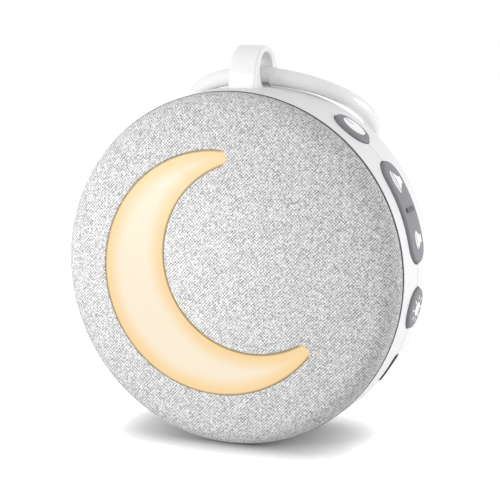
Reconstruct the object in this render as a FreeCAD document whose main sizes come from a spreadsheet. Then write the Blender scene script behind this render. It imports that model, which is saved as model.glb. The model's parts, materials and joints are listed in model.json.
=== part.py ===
import FreeCAD, Part
import math
import os
import re
import Sketcher

# A portable sound machine: a round puck that stands on its rim, with a stretched cloth
# front, a glowing crescent night light, rubber buttons on the rim and a hanging ring.
# X runs to the right seen from the front, Y runs to the back along the puck's axis and
# Z runs up. The origin lies on the foot's flat face, in the plane where the shells meet.

V = FreeCAD.Vector
doc = FreeCAD.newDocument("SoundMachine")
sheet = doc.addObject("Spreadsheet::Sheet", "Sizes")

# Every driving size, in millimetres or degrees, with what it measures
SIZES = [
    ("body_radius", 50, "puck's radius where the shells meet"),
    ("side_draft", 2.7, "slope of the puck's side, each way from the seam"),
    ("front_depth", 11.6, "from the shells' seam to the cloth's edge"),
    ("rear_depth", 19.4, "from the shells' seam to the back face"),
    ("wall", 2.2, "thickness of the moulded shells"),
    ("back_round", 6.2, "rounding of the back edge"),
    ("back_round_inside", 4.7, "rounding inside the back edge"),
    ("seam_gap", 0.1, "gap between the shells"),
    ("seam_bevel", 0.25, "bevel on each shell at the seam"),
    ("edge_round", 0.4, "rounding of the front shell's front edge"),
    ("lip_length", 1.8, "reach of the rear shell's lip into the front shell"),
    ("lip_wall", 1.1, "thickness of that lip"),
    ("lip_gap", 0.1, "clearance outside that lip"),
    ("lip_root", 3.0, "length of the lip inside the rear shell"),
    ("cover_gap", 0.3, "dark line between the cloth and the front shell"),
    ("cloth", 0.8, "thickness of the cloth"),
    ("cloth_gap", 0.15, "between the cloth and the grille"),
    ("front_round", 6.4, "rounding of the cloth's front edge"),
    ("crown_radius", 460, "radius of the front's shallow dome"),
    ("hem_width", 2.2, "width of the cloth turned behind the grille's rim"),
    ("grille_wall", 1.8, "thickness of the grille"),
    ("grille_inner_round", 3.0, "rounding inside the grille's rim"),
    ("spigot_wall", 1.7, "thickness of the grille's spigot"),
    ("spigot_gap", 0.2, "clearance round the spigot"),
    ("spigot_depth", 2.4, "reach of the spigot into the front shell"),
    ("grille_hole", 2.2, "radius of a sound hole"),
    ("grille_pitch", 7.6, "distance between rings of sound holes"),
    ("grille_rings", 2, "rings of sound holes round the middle one"),
    ("moon_radius", 34, "outer radius of the crescent"),
    ("moon_left", -1.5, "crescent's centre, from the puck's axis"),
    ("bay_radius", 26.5, "radius of the crescent's inner edge"),
    ("bay_shift", 12, "from the crescent's centre to its inner edge's centre"),
    ("bay_turn", 25, "angle of that shift above +X"),
    ("moon_tip", 2.2, "radius of the crescent's tips"),
    ("lens_gap", 0.1, "clearance round the lens"),
    ("lens_flange", 1.5, "width of the lens's flange"),
    ("lens_flange_wall", 1.2, "thickness of the lens's flange"),
    ("light_board_margin", 5, "light board's reach past the crescent"),
    ("light_board_wall", 1.0, "thickness of the light board"),
    ("light_board_place", 1.2, "from the cloth's edge to the light board's back"),
    ("light_post", 1.6, "radius of the grille's posts"),
    ("light_post_out", 3.3, "from the crescent's edge to a post's centre"),
    ("light_screw", 0.8, "radius of the light board's screws"),
    ("light_screw_head", 1.5, "radius of their heads"),
    ("light_screw_length", 4.2, "length of their shanks"),
    ("lamp_width", 3.5, "width of a night light lamp"),
    ("lamp_height", 2.8, "height of a lamp"),
    ("lamp_depth", 1.4, "depth of a lamp"),
    ("lamp_step", 26, "angle between lamps"),
    ("lamp_inset", 4.5, "from the crescent's outer edge to the lamps' middles"),
    ("baffle_wall", 1.8, "thickness of the front shell's baffle"),
    ("speaker_hole", 19.5, "radius of the baffle's hole"),
    ("speaker_radius", 25, "radius of the speaker's flange"),
    ("speaker_rim", 1.2, "thickness of the speaker's flange"),
    ("gasket_wall", 0.5, "thickness of the foam gasket"),
    ("gasket_inner", 21.2, "inner radius of the foam gasket"),
    ("speaker_fit", 0.05, "gap on each side of the gasket"),
    ("surround_land", 21.0, "outer radius of the surround's glued edge"),
    ("surround_outer", 18.8, "outer radius of the surround's roll"),
    ("surround_inner", 15.8, "inner radius of the surround's roll"),
    ("surround_roll", 1.3, "height of the surround's roll"),
    ("surround_wall", 0.4, "thickness of the surround"),
    ("basket_depth", 8.1, "from the speaker's flange to the basket's floor"),
    ("basket_floor", 14.5, "radius of the basket's floor"),
    ("basket_wall", 1.0, "thickness of the basket"),
    ("basket_window", 11, "width of a window in the basket"),
    ("magnet_radius", 15, "radius of the magnet"),
    ("magnet_bore", 9, "inner radius of the magnet"),
    ("magnet_height", 3.0, "height of the magnet"),
    ("yoke_wall", 1.5, "thickness of the magnet's two plates"),
    ("pole_radius", 6.4, "radius of the pole"),
    ("plate_bore", 8.1, "inner radius of the front plate"),
    ("coil_radius", 7.0, "inner radius of the voice coil"),
    ("coil_wall", 0.6, "thickness of the voice coil"),
    ("coil_length", 3.4, "length of the voice coil"),
    ("cone_gap", 0.15, "gap between the cone and the surround"),
    ("cone_wall", 0.5, "thickness of the cone along the axis"),
    ("cone_depth", 4.6, "depth of the cone"),
    ("cap_rise", 2.2, "height of the dust cap"),
    ("speaker_screw", 1.0, "radius of the speaker's screws"),
    ("speaker_screw_head", 1.8, "radius of their heads"),
    ("speaker_screw_length", 2.9, "length of their shanks"),
    ("speaker_screw_circle", 23.1, "radius of the circle of speaker screws"),
    ("board_inset", 4.75, "from the shell's inside to the main board's edge"),
    ("board_wall", 1.6, "thickness of the main board"),
    ("board_hole", 17, "radius of the main board's middle hole"),
    ("board_fit", 0.05, "gap between the board and what holds it"),
    ("boss_inset", 10.75, "from the shell's inside to the screw bosses"),
    ("front_boss", 3.2, "radius of the front shell's bosses"),
    ("rear_boss", 4.0, "radius of the rear shell's bosses"),
    ("case_screw", 1.3, "radius of the case screws"),
    ("case_screw_head", 2.5, "radius of their heads"),
    ("case_screw_head_height", 1.8, "height of their heads"),
    ("case_screw_length", 13.5, "length of their shanks"),
    ("case_screw_seat", 4.2, "wall under a case screw's head"),
    ("screw_gap", 0.3, "clearance round a screw's head and shank"),
    ("thread_gap", 0.02, "clearance round a screw in its pilot hole"),
    ("button_radius", 5.7, "radius of a round button"),
    ("button_stand", 0.9, "height of a button above the rim"),
    ("button_dome", 0.35, "height of the dome on a button"),
    ("button_round", 0.8, "rounding of a button's edge"),
    ("button_gap", 0.3, "clearance round a button"),
    ("button_travel", 0.5, "travel of a round button"),
    ("flange_width", 1.2, "width of the flange that keeps a button in"),
    ("flange_wall", 1.0, "thickness of that flange"),
    ("flange_gap", 0.15, "between that flange and the shell"),
    ("stem_radius", 1.6, "radius of a button's stem"),
    ("stem_length", 0.65, "length of a button's stem"),
    ("press_gap", 0.05, "gap between a pressed stem and its switch"),
    ("power_along", 45.38, "power button's place along the rim, above +X"),
    ("light_along", -9.08, "light button's place along the rim, above +X"),
    ("rocker_along", 18.24, "volume rocker's place along the rim, above +X"),
    ("rocker_length", 18.1, "between the middles of the rocker's round ends"),
    ("rocker_tilt", 1.5, "tilt of the rocker each way"),
    ("rocker_rise", 0.45, "extra room over the rocker's flange"),
    ("rocker_stem_along", 8.29, "from the rocker's middle to each stem"),
    ("rib_length", 5.0, "length of the small rib across the rocker"),
    ("rib_width", 1.3, "width of that rib"),
    ("rib_height", 0.25, "height of that rib"),
    ("lug_width", 3.6, "width of the rocker's pivot lug"),
    ("lug_half", 2.2, "half of the lug's length along the pin"),
    ("pivot_depth", 3.9, "from the shell's inside to the rocker's pin"),
    ("pivot_radius", 0.75, "radius of the rocker's pin"),
    ("pivot_gap", 0.05, "running clearance round that pin"),
    ("pivot_fit", 0.01, "clearance of that pin in its bracket"),
    ("ear_gap", 0.3, "between the lug and the bracket's ears"),
    ("ear_wall", 1.2, "thickness of the bracket's ears"),
    ("ear_top", 1.3, "bracket's reach past the pin"),
    ("bracket_width", 5.0, "width of the bracket"),
    ("bracket_base", 1.1, "thickness of the bracket's base"),
    ("bracket_drop", 2.9, "from the pin to the bracket's base"),
    ("notch_gap", 0.2, "clearance round the bracket in the board"),
    ("switch_width", 6.0, "width of a switch"),
    ("switch_height", 3.2, "height of a switch above the board"),
    ("switch_depth", 3.5, "depth of a switch"),
    ("plunger_radius", 1.0, "radius of a switch's plunger"),
    ("plunger_length", 0.8, "length of a switch's plunger"),
    ("port_along", -27.93, "charging port's place along the rim, above +X"),
    ("port_width", 8.94, "width of the charging port"),
    ("port_height", 3.2, "height of the charging port"),
    ("port_wall", 0.3, "thickness of the port's metal"),
    ("port_length", 7.35, "length of the port"),
    ("port_setback", 0.9, "from the shell's inside to the port's mouth"),
    ("port_gap", 0.25, "clearance round the port in the shells"),
    ("tongue_width", 6.7, "width of the port's tongue"),
    ("tongue_wall", 0.7, "thickness of the port's tongue"),
    ("tongue_length", 4.6, "length of the port's tongue"),
    ("chip_inset", 18.5, "from the main board's edge to the chips"),
    ("chip_side", 7.0, "side of the sound chip"),
    ("chip_wall", 0.9, "thickness of the chips"),
    ("amplifier_side", 4.0, "side of the amplifier chip"),
    ("capacitor_radius", 2.5, "radius of a capacitor"),
    ("capacitor_height", 5.4, "height of a capacitor"),
    ("battery_width", 38, "width of the battery"),
    ("battery_height", 30, "height of the battery"),
    ("battery_depth", 7, "depth of the battery"),
    ("battery_round", 2.0, "rounding of the battery's long edges"),
    ("tape_wall", 0.8, "thickness of the battery's foam tape"),
    ("tape_width", 30, "width of that tape"),
    ("tape_height", 22, "height of that tape"),
    ("eye_back", 4.5, "eye's middle, behind the seam"),
    ("eye_half", 4.05, "half of the eye's width along X"),
    ("eye_base", 9.1, "half of the eye's length at the rim"),
    ("eye_arch", 8.7, "radius of the eye's arch"),
    ("eye_arch_rise", 2.4, "arch's centre above the rim"),
    ("eye_hole", 4.9, "radius of the eye's hole"),
    ("eye_hole_rise", 4.4, "hole's centre above the rim"),
    ("eye_round", 0.75, "rounding of the eye's edges"),
    ("eye_fit", 0.1, "clearance round the eye in the shells"),
    ("eye_foot_half", 6.0, "half of the eye's inner foot along X"),
    ("eye_foot_long", 11.0, "half of the eye's inner foot along Y"),
    ("eye_foot_drop", 0.55, "from the shell's inside to that foot"),
    ("eye_foot_wall", 2.0, "thickness of that foot"),
    ("ring_radius", 26.6, "radius of the ring's centre line"),
    ("ring_tube", 2.45, "radius of the ring's tube"),
    ("ring_rest", 29, "ring's slope below level when it lies back"),
    ("ring_end", 6.2, "from the middle to each end of the open ring"),
    ("ring_drop", 0.3, "ring's centre line below the pin"),
    ("neck_radius", 2.2, "radius of the ring's pin"),
    ("neck_rise", 2.8, "pin's centre above the rim"),
    ("neck_back", 2.1, "pin's centre behind the eye's middle"),
    ("neck_gap", 0.05, "gap at the pin's shoulders"),
    ("peg_radius", 1.2, "radius of the pin's two pegs"),
    ("peg_length", 2.2, "length of the pin's two pegs"),
    ("foot_width", 14, "width of the rubber foot"),
    ("foot_length", 18, "length of the rubber foot"),
    ("foot_wall", 1.6, "thickness of the rubber foot"),
    ("foot_proud", 0.3, "foot's height below the shells"),
    ("foot_round", 3.0, "rounding of the foot's corners"),
    ("foot_gap", 0.1, "clearance round the foot"),
    ("flat_drop", 0.7, "depth of the flat under the puck"),
]

NAMES = set()
for row, (name, value, note) in enumerate(SIZES, start=1):
    sheet.set(f"A{row}", name)
    sheet.set(f"B{row}", str(value))
    sheet.set(f"C{row}", note)
    sheet.setAlias(f"B{row}", name)
    NAMES.add(name)
doc.recompute()

# Screw bosses round the puck, in degrees above +X, clear of the buttons, port and eye
BOSS_ANGLES = (68, 142, 218, 305)
# Speaker screws, between the basket's windows
SPEAKER_SCREW_ANGLES = (45, 135, 225, 315)
# Light board's posts, in degrees from the middle of the crescent's back
POST_LEANS = (-55, 0, 55)
# Capacitors on the main board, in degrees above +X
CAPACITOR_ANGLES = (172, 188)
LAMPS = 8


# Places and sizes that several pieces share, written with the sheet's names

def side_radius(depth):
    # The puck's radius at a depth from the seam, to the front or to the back
    return f"(body_radius - ({depth}) * tan(side_draft))"


def rim_angle(along):
    # The angle that a length along the rim spans at the seam
    return f"({along} / body_radius * 180 / pi)"


POWER_ANGLE = rim_angle("power_along")
LIGHT_ANGLE = rim_angle("light_along")
ROCKER_ANGLE = rim_angle("rocker_along")
ROCKER_SPAN = rim_angle("rocker_length")
ROCKER_STEM_ANGLE = rim_angle("rocker_stem_along")
PORT_ANGLE = rim_angle("port_along")
FRONT_EDGE = side_radius("front_depth")
BACK_EDGE = side_radius("rear_depth")
INSIDE = f"({FRONT_EDGE} - wall)"
HALF_GAP = "(seam_gap / 2)"
AXIS_HEIGHT = "(body_radius - flat_drop + foot_proud)"
COVER_BACK = "(-front_depth - cover_gap)"
ROUND_RADIUS = f"({FRONT_EDGE} - front_round)"
CROWN_REACH = "(crown_radius - front_round)"
CROWN_BACK = f"(-front_depth + sqrt({CROWN_REACH}^2 - {ROUND_RADIUS}^2))"
RIM_BACK = f"({COVER_BACK} - cloth - cloth_gap / 2)"
GRILLE_INSET = "(cloth + cloth_gap)"
GRILLE_BACK = f"({GRILLE_INSET} + grille_wall)"
BAFFLE_FRONT = "(-front_depth + spigot_depth + spigot_gap)"
BAFFLE_BACK = f"({BAFFLE_FRONT} + baffle_wall)"
FLANGE_FRONT = f"({BAFFLE_BACK} + gasket_wall + 2 * speaker_fit)"
FLANGE_BACK = f"({FLANGE_FRONT} + speaker_rim)"
BASKET_BACK = f"({FLANGE_FRONT} + basket_depth)"
MAGNET_FRONT = f"({BASKET_BACK} + yoke_wall)"
MAGNET_BACK = f"({MAGNET_FRONT} + magnet_height)"
CONE_FRONT = f"({FLANGE_FRONT} - surround_wall / 2)"
CONE_BACK = f"({CONE_FRONT} + cone_depth)"
BOARD_FRONT = "(port_height / 2 + board_fit)"
BOARD_BACK = f"({BOARD_FRONT} + board_wall)"
BOARD_RADIUS = f"({INSIDE} - board_inset)"
BOSS_CIRCLE = f"({INSIDE} - boss_inset)"
BACK_INSIDE = "(rear_depth - wall)"
TAPE_BACK = f"({BACK_INSIDE} - board_fit)"
BATTERY_BACK = f"({TAPE_BACK} - tape_wall)"
SCREW_SEAT = f"({BOARD_BACK} + board_fit + case_screw_seat)"
LIGHT_BOARD_BACK = "(-front_depth + light_board_place)"
LIGHT_BOARD_FRONT = f"({LIGHT_BOARD_BACK} - light_board_wall)"
FLANGE_RADIUS = "(button_radius + flange_width)"
FLANGE_TOP = f"(sqrt({INSIDE}^2 - {FLANGE_RADIUS}^2) - flange_gap)"
FLANGE_BOTTOM = f"({FLANGE_TOP} - flange_wall)"
STEM_BOTTOM = f"({FLANGE_BOTTOM} - stem_length)"
ROCKER_TOP = f"({FLANGE_TOP} - rocker_rise)"
ROCKER_BOTTOM = f"({ROCKER_TOP} - flange_wall)"
ROCKER_STEM_BOTTOM = f"({ROCKER_BOTTOM} - stem_length)"
CAP_TOP = "(body_radius + button_stand)"
DOME_RADIUS = "((button_radius^2 + button_dome^2) / (2 * button_dome))"
DOME_CENTRE = f"({CAP_TOP} - {DOME_RADIUS})"
DOME_SHARE = f"({DOME_RADIUS} / ({DOME_RADIUS} - button_round))"
DOME_REACH = f"({DOME_SHARE} * (button_radius - button_round))"
ROUND_CENTRE = (f"({DOME_CENTRE} + sqrt(({DOME_RADIUS} - button_round)^2"
                " - (button_radius - button_round)^2))")
DOME_EDGE = f"({DOME_CENTRE} + {DOME_SHARE} * ({ROUND_CENTRE} - {DOME_CENTRE}))"
PIVOT = f"({INSIDE} - pivot_depth)"
NECK_Y = "(eye_back + neck_back)"
NECK_Z = "(body_radius + neck_rise)"


# Helpers that bind a document's objects to the sheet

def bound(text):
    # An expression's own names, each with the sheet's name before it
    def full(match):
        word = match.group(0)
        return f"Sizes.{word}" if word in NAMES else word
    return re.sub(r"[a-z][a-z_]+", full, text)


def number(text):
    return float(sheet.evalExpression(text))


def place(item, x="0", y="0", z=AXIS_HEIGHT, turn="0", about=(0, 0, 1)):
    # Moves an object to x, y, z after turning it about one axis through its own origin
    item.Placement = FreeCAD.Placement(V(0, 0, 0), FreeCAD.Rotation(V(*about), 1))
    for part, text in (("Base.x", x), ("Base.y", y), ("Base.z", z), ("Rotation.Angle", turn)):
        item.setExpression(f"Placement.{part}", bound(text))
    return item


def place_radial(item, angle, y="0"):
    # Points an object's own Z outwards from the puck's axis, at an angle above +X
    return place(item, y=y, turn=f"90 - ({angle})", about=(0, 1, 0))


def rule(sketch, kind, geometry, point, text):
    # Fixes one coordinate of a point, measured from the sketch's origin
    value = number(text)
    if text == "0":
        axis = -2 if kind == "DistanceX" else -1
        sketch.addConstraint(Sketcher.Constraint("PointOnObject", geometry, point, axis))
        return
    index = sketch.addConstraint(Sketcher.Constraint(kind, -1, 1, geometry, point, value))
    sketch.setExpression(f"Constraints[{index}]", bound(text))


def new_sketch(body, plane):
    sketch = body.newObject("Sketcher::SketchObject", f"{body.Name}Sketch")
    origin_plane = [item for item in body.Origin.OriginFeatures if item.Role == plane][0]
    sketch.AttachmentSupport = [(origin_plane, "")]
    sketch.MapMode = "FlatFace"
    return sketch


def draw_outline(sketch, corners):
    # Draws a closed outline. A corner is (x, y), and a third entry makes the edge that
    # leaves it an arc of under a half circle: ("x", centre's x) or ("y", centre's y).
    first = sketch.GeometryCount
    points = [(number(corner[0]), number(corner[1])) for corner in corners]
    ends = []
    for here, corner in enumerate(corners):
        start = points[here]
        stop = points[(here + 1) % len(points)]
        if len(corner) == 2:
            sketch.addGeometry(Part.LineSegment(V(*start), V(*stop)))
            ends.append((1, 2))
            continue
        known = number(corner[2][1])
        if corner[2][0] == "x":
            lift = (start[0] - known) ** 2 - (stop[0] - known) ** 2 + start[1] ** 2 - stop[1] ** 2
            centre = (known, lift / (2 * (start[1] - stop[1])))
        else:
            lift = (start[1] - known) ** 2 - (stop[1] - known) ** 2 + start[0] ** 2 - stop[0] ** 2
            centre = (lift / (2 * (start[0] - stop[0])), known)
        radius = math.dist(start, centre)
        from_angle = math.atan2(start[1] - centre[1], start[0] - centre[0])
        to_angle = math.atan2(stop[1] - centre[1], stop[0] - centre[0])
        turning = (to_angle - from_angle) % (2 * math.pi) < math.pi
        span = (from_angle, to_angle) if turning else (to_angle, from_angle)
        circle = Part.Circle(V(*centre), V(0, 0, 1), radius)
        sketch.addGeometry(Part.ArcOfCircle(circle, *span))
        ends.append((1, 2) if turning else (2, 1))
    for here, corner in enumerate(corners):
        following = (here + 1) % len(corners)
        sketch.addConstraint(Sketcher.Constraint(
            "Coincident", first + here, ends[here][1], first + following, ends[following][0]))
        rule(sketch, "DistanceX", first + here, ends[here][0], corner[0])
        rule(sketch, "DistanceY", first + here, ends[here][0], corner[1])
        if len(corner) == 3:
            kind = "DistanceX" if corner[2][0] == "x" else "DistanceY"
            rule(sketch, kind, first + here, 3, corner[2][1])
    return sketch


def draw_circle(sketch, radius, x="0", y="0"):
    index = sketch.addGeometry(Part.Circle(V(number(x), number(y)), V(0, 0, 1), number(radius)))
    limit = sketch.addConstraint(Sketcher.Constraint("Radius", index, number(radius)))
    sketch.setExpression(f"Constraints[{limit}]", bound(radius))
    rule(sketch, "DistanceX", index, 3, x)
    rule(sketch, "DistanceY", index, 3, y)


def draw_slot(sketch, half_width, half_height):
    # A slot with round ends along the sketch's x
    flat = f"({half_width} - {half_height})"
    draw_outline(sketch, [
        (f"-{flat}", f"-{half_height}"),
        (flat, f"-{half_height}", ("x", flat)),
        (half_width, "0", ("x", flat)),
        (flat, half_height),
        (f"-{flat}", half_height, ("x", f"-{flat}")),
        (f"-{half_width}", "0", ("x", f"-{flat}")),
    ])


def turned(name, corners, about="puck", angle=None, plane="YZ_Plane"):
    # Turns an outline of (y, radius) corners: about the puck's axis, or about the
    # radial line that a button or pin stands on. A given angle is spread both ways.
    body = doc.addObject("PartDesign::Body", name)
    sketch = draw_outline(new_sketch(body, plane), corners)
    turn = body.newObject("PartDesign::Revolution", f"{name}Turned")
    turn.Profile = sketch
    turn.ReferenceAxis = (sketch, ["H_Axis" if about == "puck" else "V_Axis"])
    turn.Angle = 360
    if angle:
        turn.Midplane = True
        turn.setExpression("Angle", bound(angle))
    return body


def padded(name, length, plane, draw, both_ways=False, backwards=False):
    # Pads what draw() puts on a sketch, by a length
    body = doc.addObject("PartDesign::Body", name)
    sketch = new_sketch(body, plane)
    draw(sketch)
    pad = body.newObject("PartDesign::Pad", f"{name}Pad")
    pad.Profile = sketch
    pad.SideType = "Symmetric" if both_ways else "One side"
    pad.Reversed = backwards
    pad.setExpression("Length", bound(length))
    return body


def dress(body, kind, size, wanted):
    # Rounds or bevels the edges that wanted(edge) picks on a body's last feature
    doc.recompute()
    base = body.Tip
    picked = [f"Edge{k}" for k, edge in enumerate(base.Shape.Edges, start=1) if wanted(edge)]
    feature = body.newObject(f"PartDesign::{kind}", f"{body.Name}{kind}")
    feature.Base = (base, picked)
    feature.setExpression("Radius" if kind == "Fillet" else "Size", bound(size))
    return body


def ring_edge(y, radius):
    # Picks the circle round the puck's axis that lies at this y and radius
    def wanted(edge):
        box = edge.BoundBox
        flat = box.YLength < 1e-4 and abs(box.YMin - number(y)) < 1e-3
        return flat and abs(box.XMax - number(radius)) < 1e-2
    return wanted


def rod(name, radius, start, length, x="0", z="0"):
    # A cylinder along the puck's axis, at x and z from that axis
    item = doc.addObject("Part::Cylinder", name)
    item.setExpression("Radius", bound(radius))
    item.setExpression("Height", bound(length))
    return place(item, x, start, f"{AXIS_HEIGHT} + ({z})", "-90", (1, 0, 0))


def spoke(name, radius, start, length, angle, y="0"):
    # A cylinder that points outwards from the puck's axis
    item = doc.addObject("Part::Cylinder", name)
    item.setExpression("Radius", bound(radius))
    item.setExpression("Height", bound(length))
    direction = f"90 - ({angle})"
    return place(item, f"({start}) * cos({angle})", y, f"{AXIS_HEIGHT} + ({start}) * sin({angle})",
                 direction, (0, 1, 0))


def block(name, x, y, z, turn="0"):
    # A box between two values of x, y and z. With a turn, x runs round the rim and z
    # runs outwards from the puck's axis, at that angle above +X.
    item = doc.addObject("Part::Box", name)
    for side, (low, high) in zip(("Length", "Width", "Height"), (x, y, z)):
        item.setExpression(side, bound(f"({high}) - ({low})"))
    if turn == "0":
        return place(item, x[0], y[0], f"{AXIS_HEIGHT} + ({z[0]})")
    lean = f"(90 - ({turn}))"
    along = f"({x[0]}) * cos{lean} + ({z[0]}) * sin{lean}"
    up = f"({z[0]}) * cos{lean} - ({x[0]}) * sin{lean}"
    return place(item, along, y[0], f"{AXIS_HEIGHT} + {up}", lean, (0, 1, 0))


def join(name, items):
    fuse = doc.addObject("Part::MultiFuse", name)
    fuse.Shapes = items
    fuse.Refine = True
    return fuse


def cut(name, base, tools):
    result = doc.addObject("Part::Cut", name)
    result.Base = base
    result.Tool = tools[0] if len(tools) == 1 else group(f"{name}Tools", tools)
    result.Refine = True
    return result


def group(name, items):
    compound = doc.addObject("Part::Compound", name)
    compound.Links = items
    return compound


def around(radius, angle):
    return f"({radius}) * cos({angle})", f"({radius}) * sin({angle})"


pieces = {}


def keep(node, item):
    item.Label = node
    pieces[node] = item
    return item


# Cutters that both shells share, where buttons, port, eye and foot pass the seam

def rim_cutters(prefix):
    top = "body_radius + button_stand"
    bottom = BOARD_RADIUS
    hole = "button_radius + button_gap"
    relief = f"{FLANGE_RADIUS} + button_gap"
    seat = f"sqrt({INSIDE}^2 - ({hole})^2)"
    tools = []
    for label, angle in (("Power", POWER_ANGLE), ("Light", LIGHT_ANGLE)):
        tools.append(spoke(f"{prefix}{label}Hole", hole, bottom, f"{top} - {bottom}", angle))
        tools.append(spoke(f"{prefix}{label}Relief", relief, bottom, f"{seat} - {bottom}", angle))
    for half, size in (("Slot", hole), ("SlotRelief", relief)):
        reach = top if half == "Slot" else seat
        corners = [(f"-({size})", bottom), (size, bottom), (size, reach), (f"-({size})", reach)]
        sweep = turned(f"{prefix}Rocker{half}", corners, angle=ROCKER_SPAN)
        tools.append(place_radial(sweep, ROCKER_ANGLE))
        for end, sign in (("Low", "-"), ("High", "+")):
            lean = f"{ROCKER_ANGLE} {sign} {ROCKER_SPAN} / 2"
            height = f"{top if half == 'Slot' else seat} - {bottom}"
            tools.append(spoke(f"{prefix}Rocker{half}{end}", size, bottom, height, lean))
    port = padded(f"{prefix}PortSlot", top, "XY_Plane", lambda sketch: draw_slot(
        sketch, "(port_width / 2 + port_gap)", "(port_height / 2 + port_gap)"))
    tools.append(place_radial(port, PORT_ANGLE))
    tools.append(block(f"{prefix}EyeSlot", ("-eye_half - eye_fit", "eye_half + eye_fit"),
                       ("eye_back - eye_base - eye_fit", "eye_back + eye_base + eye_fit"), (bottom, top)))
    tools.append(block(f"{prefix}EyeRelief", ("-eye_foot_half - button_gap", "eye_foot_half + button_gap"),
                       ("eye_back - eye_foot_long - button_gap", "eye_back + eye_foot_long + button_gap"),
                       (bottom, f"{INSIDE} - eye_foot_drop / 2")))
    tools.append(block(f"{prefix}Flat", ("-body_radius", "body_radius"), ("-body_radius", "body_radius"),
                       ("-2 * body_radius", "flat_drop - body_radius")))
    foot = padded(f"{prefix}FootRecess", "foot_wall", "XY_Plane", lambda sketch: draw_pad(sketch, "foot_gap"))
    tools.append(place(foot, z="foot_gap / 2"))
    return tools


def draw_pad(sketch, grow):
    # The foot's outline: a rectangle with round corners
    x = f"(foot_width / 2 + {grow})"
    y = f"(foot_length / 2 + {grow})"
    inner_x = "(foot_width / 2 - foot_round)"
    inner_y = "(foot_length / 2 - foot_round)"
    draw_outline(sketch, [
        (f"-{inner_x}", f"-{y}"), (inner_x, f"-{y}", ("x", inner_x)),
        (x, f"-{inner_y}"), (x, inner_y, ("y", inner_y)),
        (inner_x, y), (f"-{inner_x}", y, ("x", f"-{inner_x}")),
        (f"-{x}", inner_y), (f"-{x}", f"-{inner_y}", ("y", f"-{inner_y}")),
    ])


# Front shell: the white band behind the cloth, with the speaker's baffle and four bosses

def front_shell():
    seam = f"-{HALF_GAP}"
    band = turned("FrontBand", [
        ("-front_depth", INSIDE), ("-front_depth", FRONT_EDGE),
        (seam, side_radius(HALF_GAP)), (seam, INSIDE), (BAFFLE_BACK, INSIDE),
        (BAFFLE_BACK, "speaker_hole"), (BAFFLE_FRONT, "speaker_hole"), (BAFFLE_FRONT, INSIDE)])
    place(band)
    dress(band, "Chamfer", "seam_bevel", ring_edge(seam, side_radius(HALF_GAP)))
    dress(band, "Fillet", "edge_round", ring_edge("-front_depth", FRONT_EDGE))
    parts = [band]
    holes = []
    for number_of, angle in enumerate(BOSS_ANGLES):
        x, z = around(BOSS_CIRCLE, angle)
        parts.append(rod(f"FrontBoss{number_of}", "front_boss", f"{BAFFLE_BACK} - baffle_wall / 2",
                         f"{BOARD_FRONT} - board_fit - {BAFFLE_BACK} + baffle_wall / 2", x, z))
        tip = f"({SCREW_SEAT} - case_screw_length - thread_gap)"
        holes.append(rod(f"FrontPilot{number_of}", "case_screw + thread_gap", tip,
                         f"{BOARD_FRONT} - {tip}", x, z))
    for number_of, angle in enumerate(SPEAKER_SCREW_ANGLES):
        x, z = around("speaker_screw_circle", angle)
        holes.append(rod(f"BafflePilot{number_of}", "speaker_screw + thread_gap", BAFFLE_FRONT,
                         f"{BAFFLE_BACK} - {BAFFLE_FRONT}", x, z))
    return keep("front_shell", cut("FrontShell", join("FrontSolid", parts), holes + rim_cutters("Front")))


# Rear shell: the white cup with the lip that fills the seam, and four deep screw wells

def rear_shell():
    lip = f"({INSIDE} - lip_gap)"
    lip_inner = f"({lip} - lip_wall)"
    cup = turned("RearCup", [
        ("-lip_length", lip_inner), ("-lip_length", lip), (HALF_GAP, lip),
        (HALF_GAP, side_radius(HALF_GAP)), ("rear_depth", BACK_EDGE), ("rear_depth", "0"),
        (BACK_INSIDE, "0"), (BACK_INSIDE, INSIDE), ("lip_root + lip_wall", INSIDE), ("lip_root", lip_inner)])
    place(cup)
    dress(cup, "Chamfer", "seam_bevel", ring_edge(HALF_GAP, side_radius(HALF_GAP)))
    dress(cup, "Fillet", "back_round", ring_edge("rear_depth", BACK_EDGE))
    dress(cup, "Fillet", "back_round_inside", ring_edge(BACK_INSIDE, INSIDE))
    parts = [cup]
    holes = []
    for number_of, angle in enumerate(BOSS_ANGLES):
        x, z = around(BOSS_CIRCLE, angle)
        start = f"({BOARD_BACK} + board_fit)"
        parts.append(rod(f"RearBoss{number_of}", "rear_boss", start,
                         f"{BACK_INSIDE} + wall / 2 - {start}", x, z))
        holes.append(rod(f"RearHole{number_of}", "case_screw + screw_gap", start,
                         f"rear_depth - {start}", x, z))
        holes.append(rod(f"RearWell{number_of}", "case_screw_head + screw_gap", SCREW_SEAT,
                         f"rear_depth - {SCREW_SEAT}", x, z))
    return keep("rear_shell", cut("RearShell", join("RearSolid", parts), holes + rim_cutters("Rear")))


# The crescent: two arcs and two round tips, each arc tangent to the next

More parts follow.
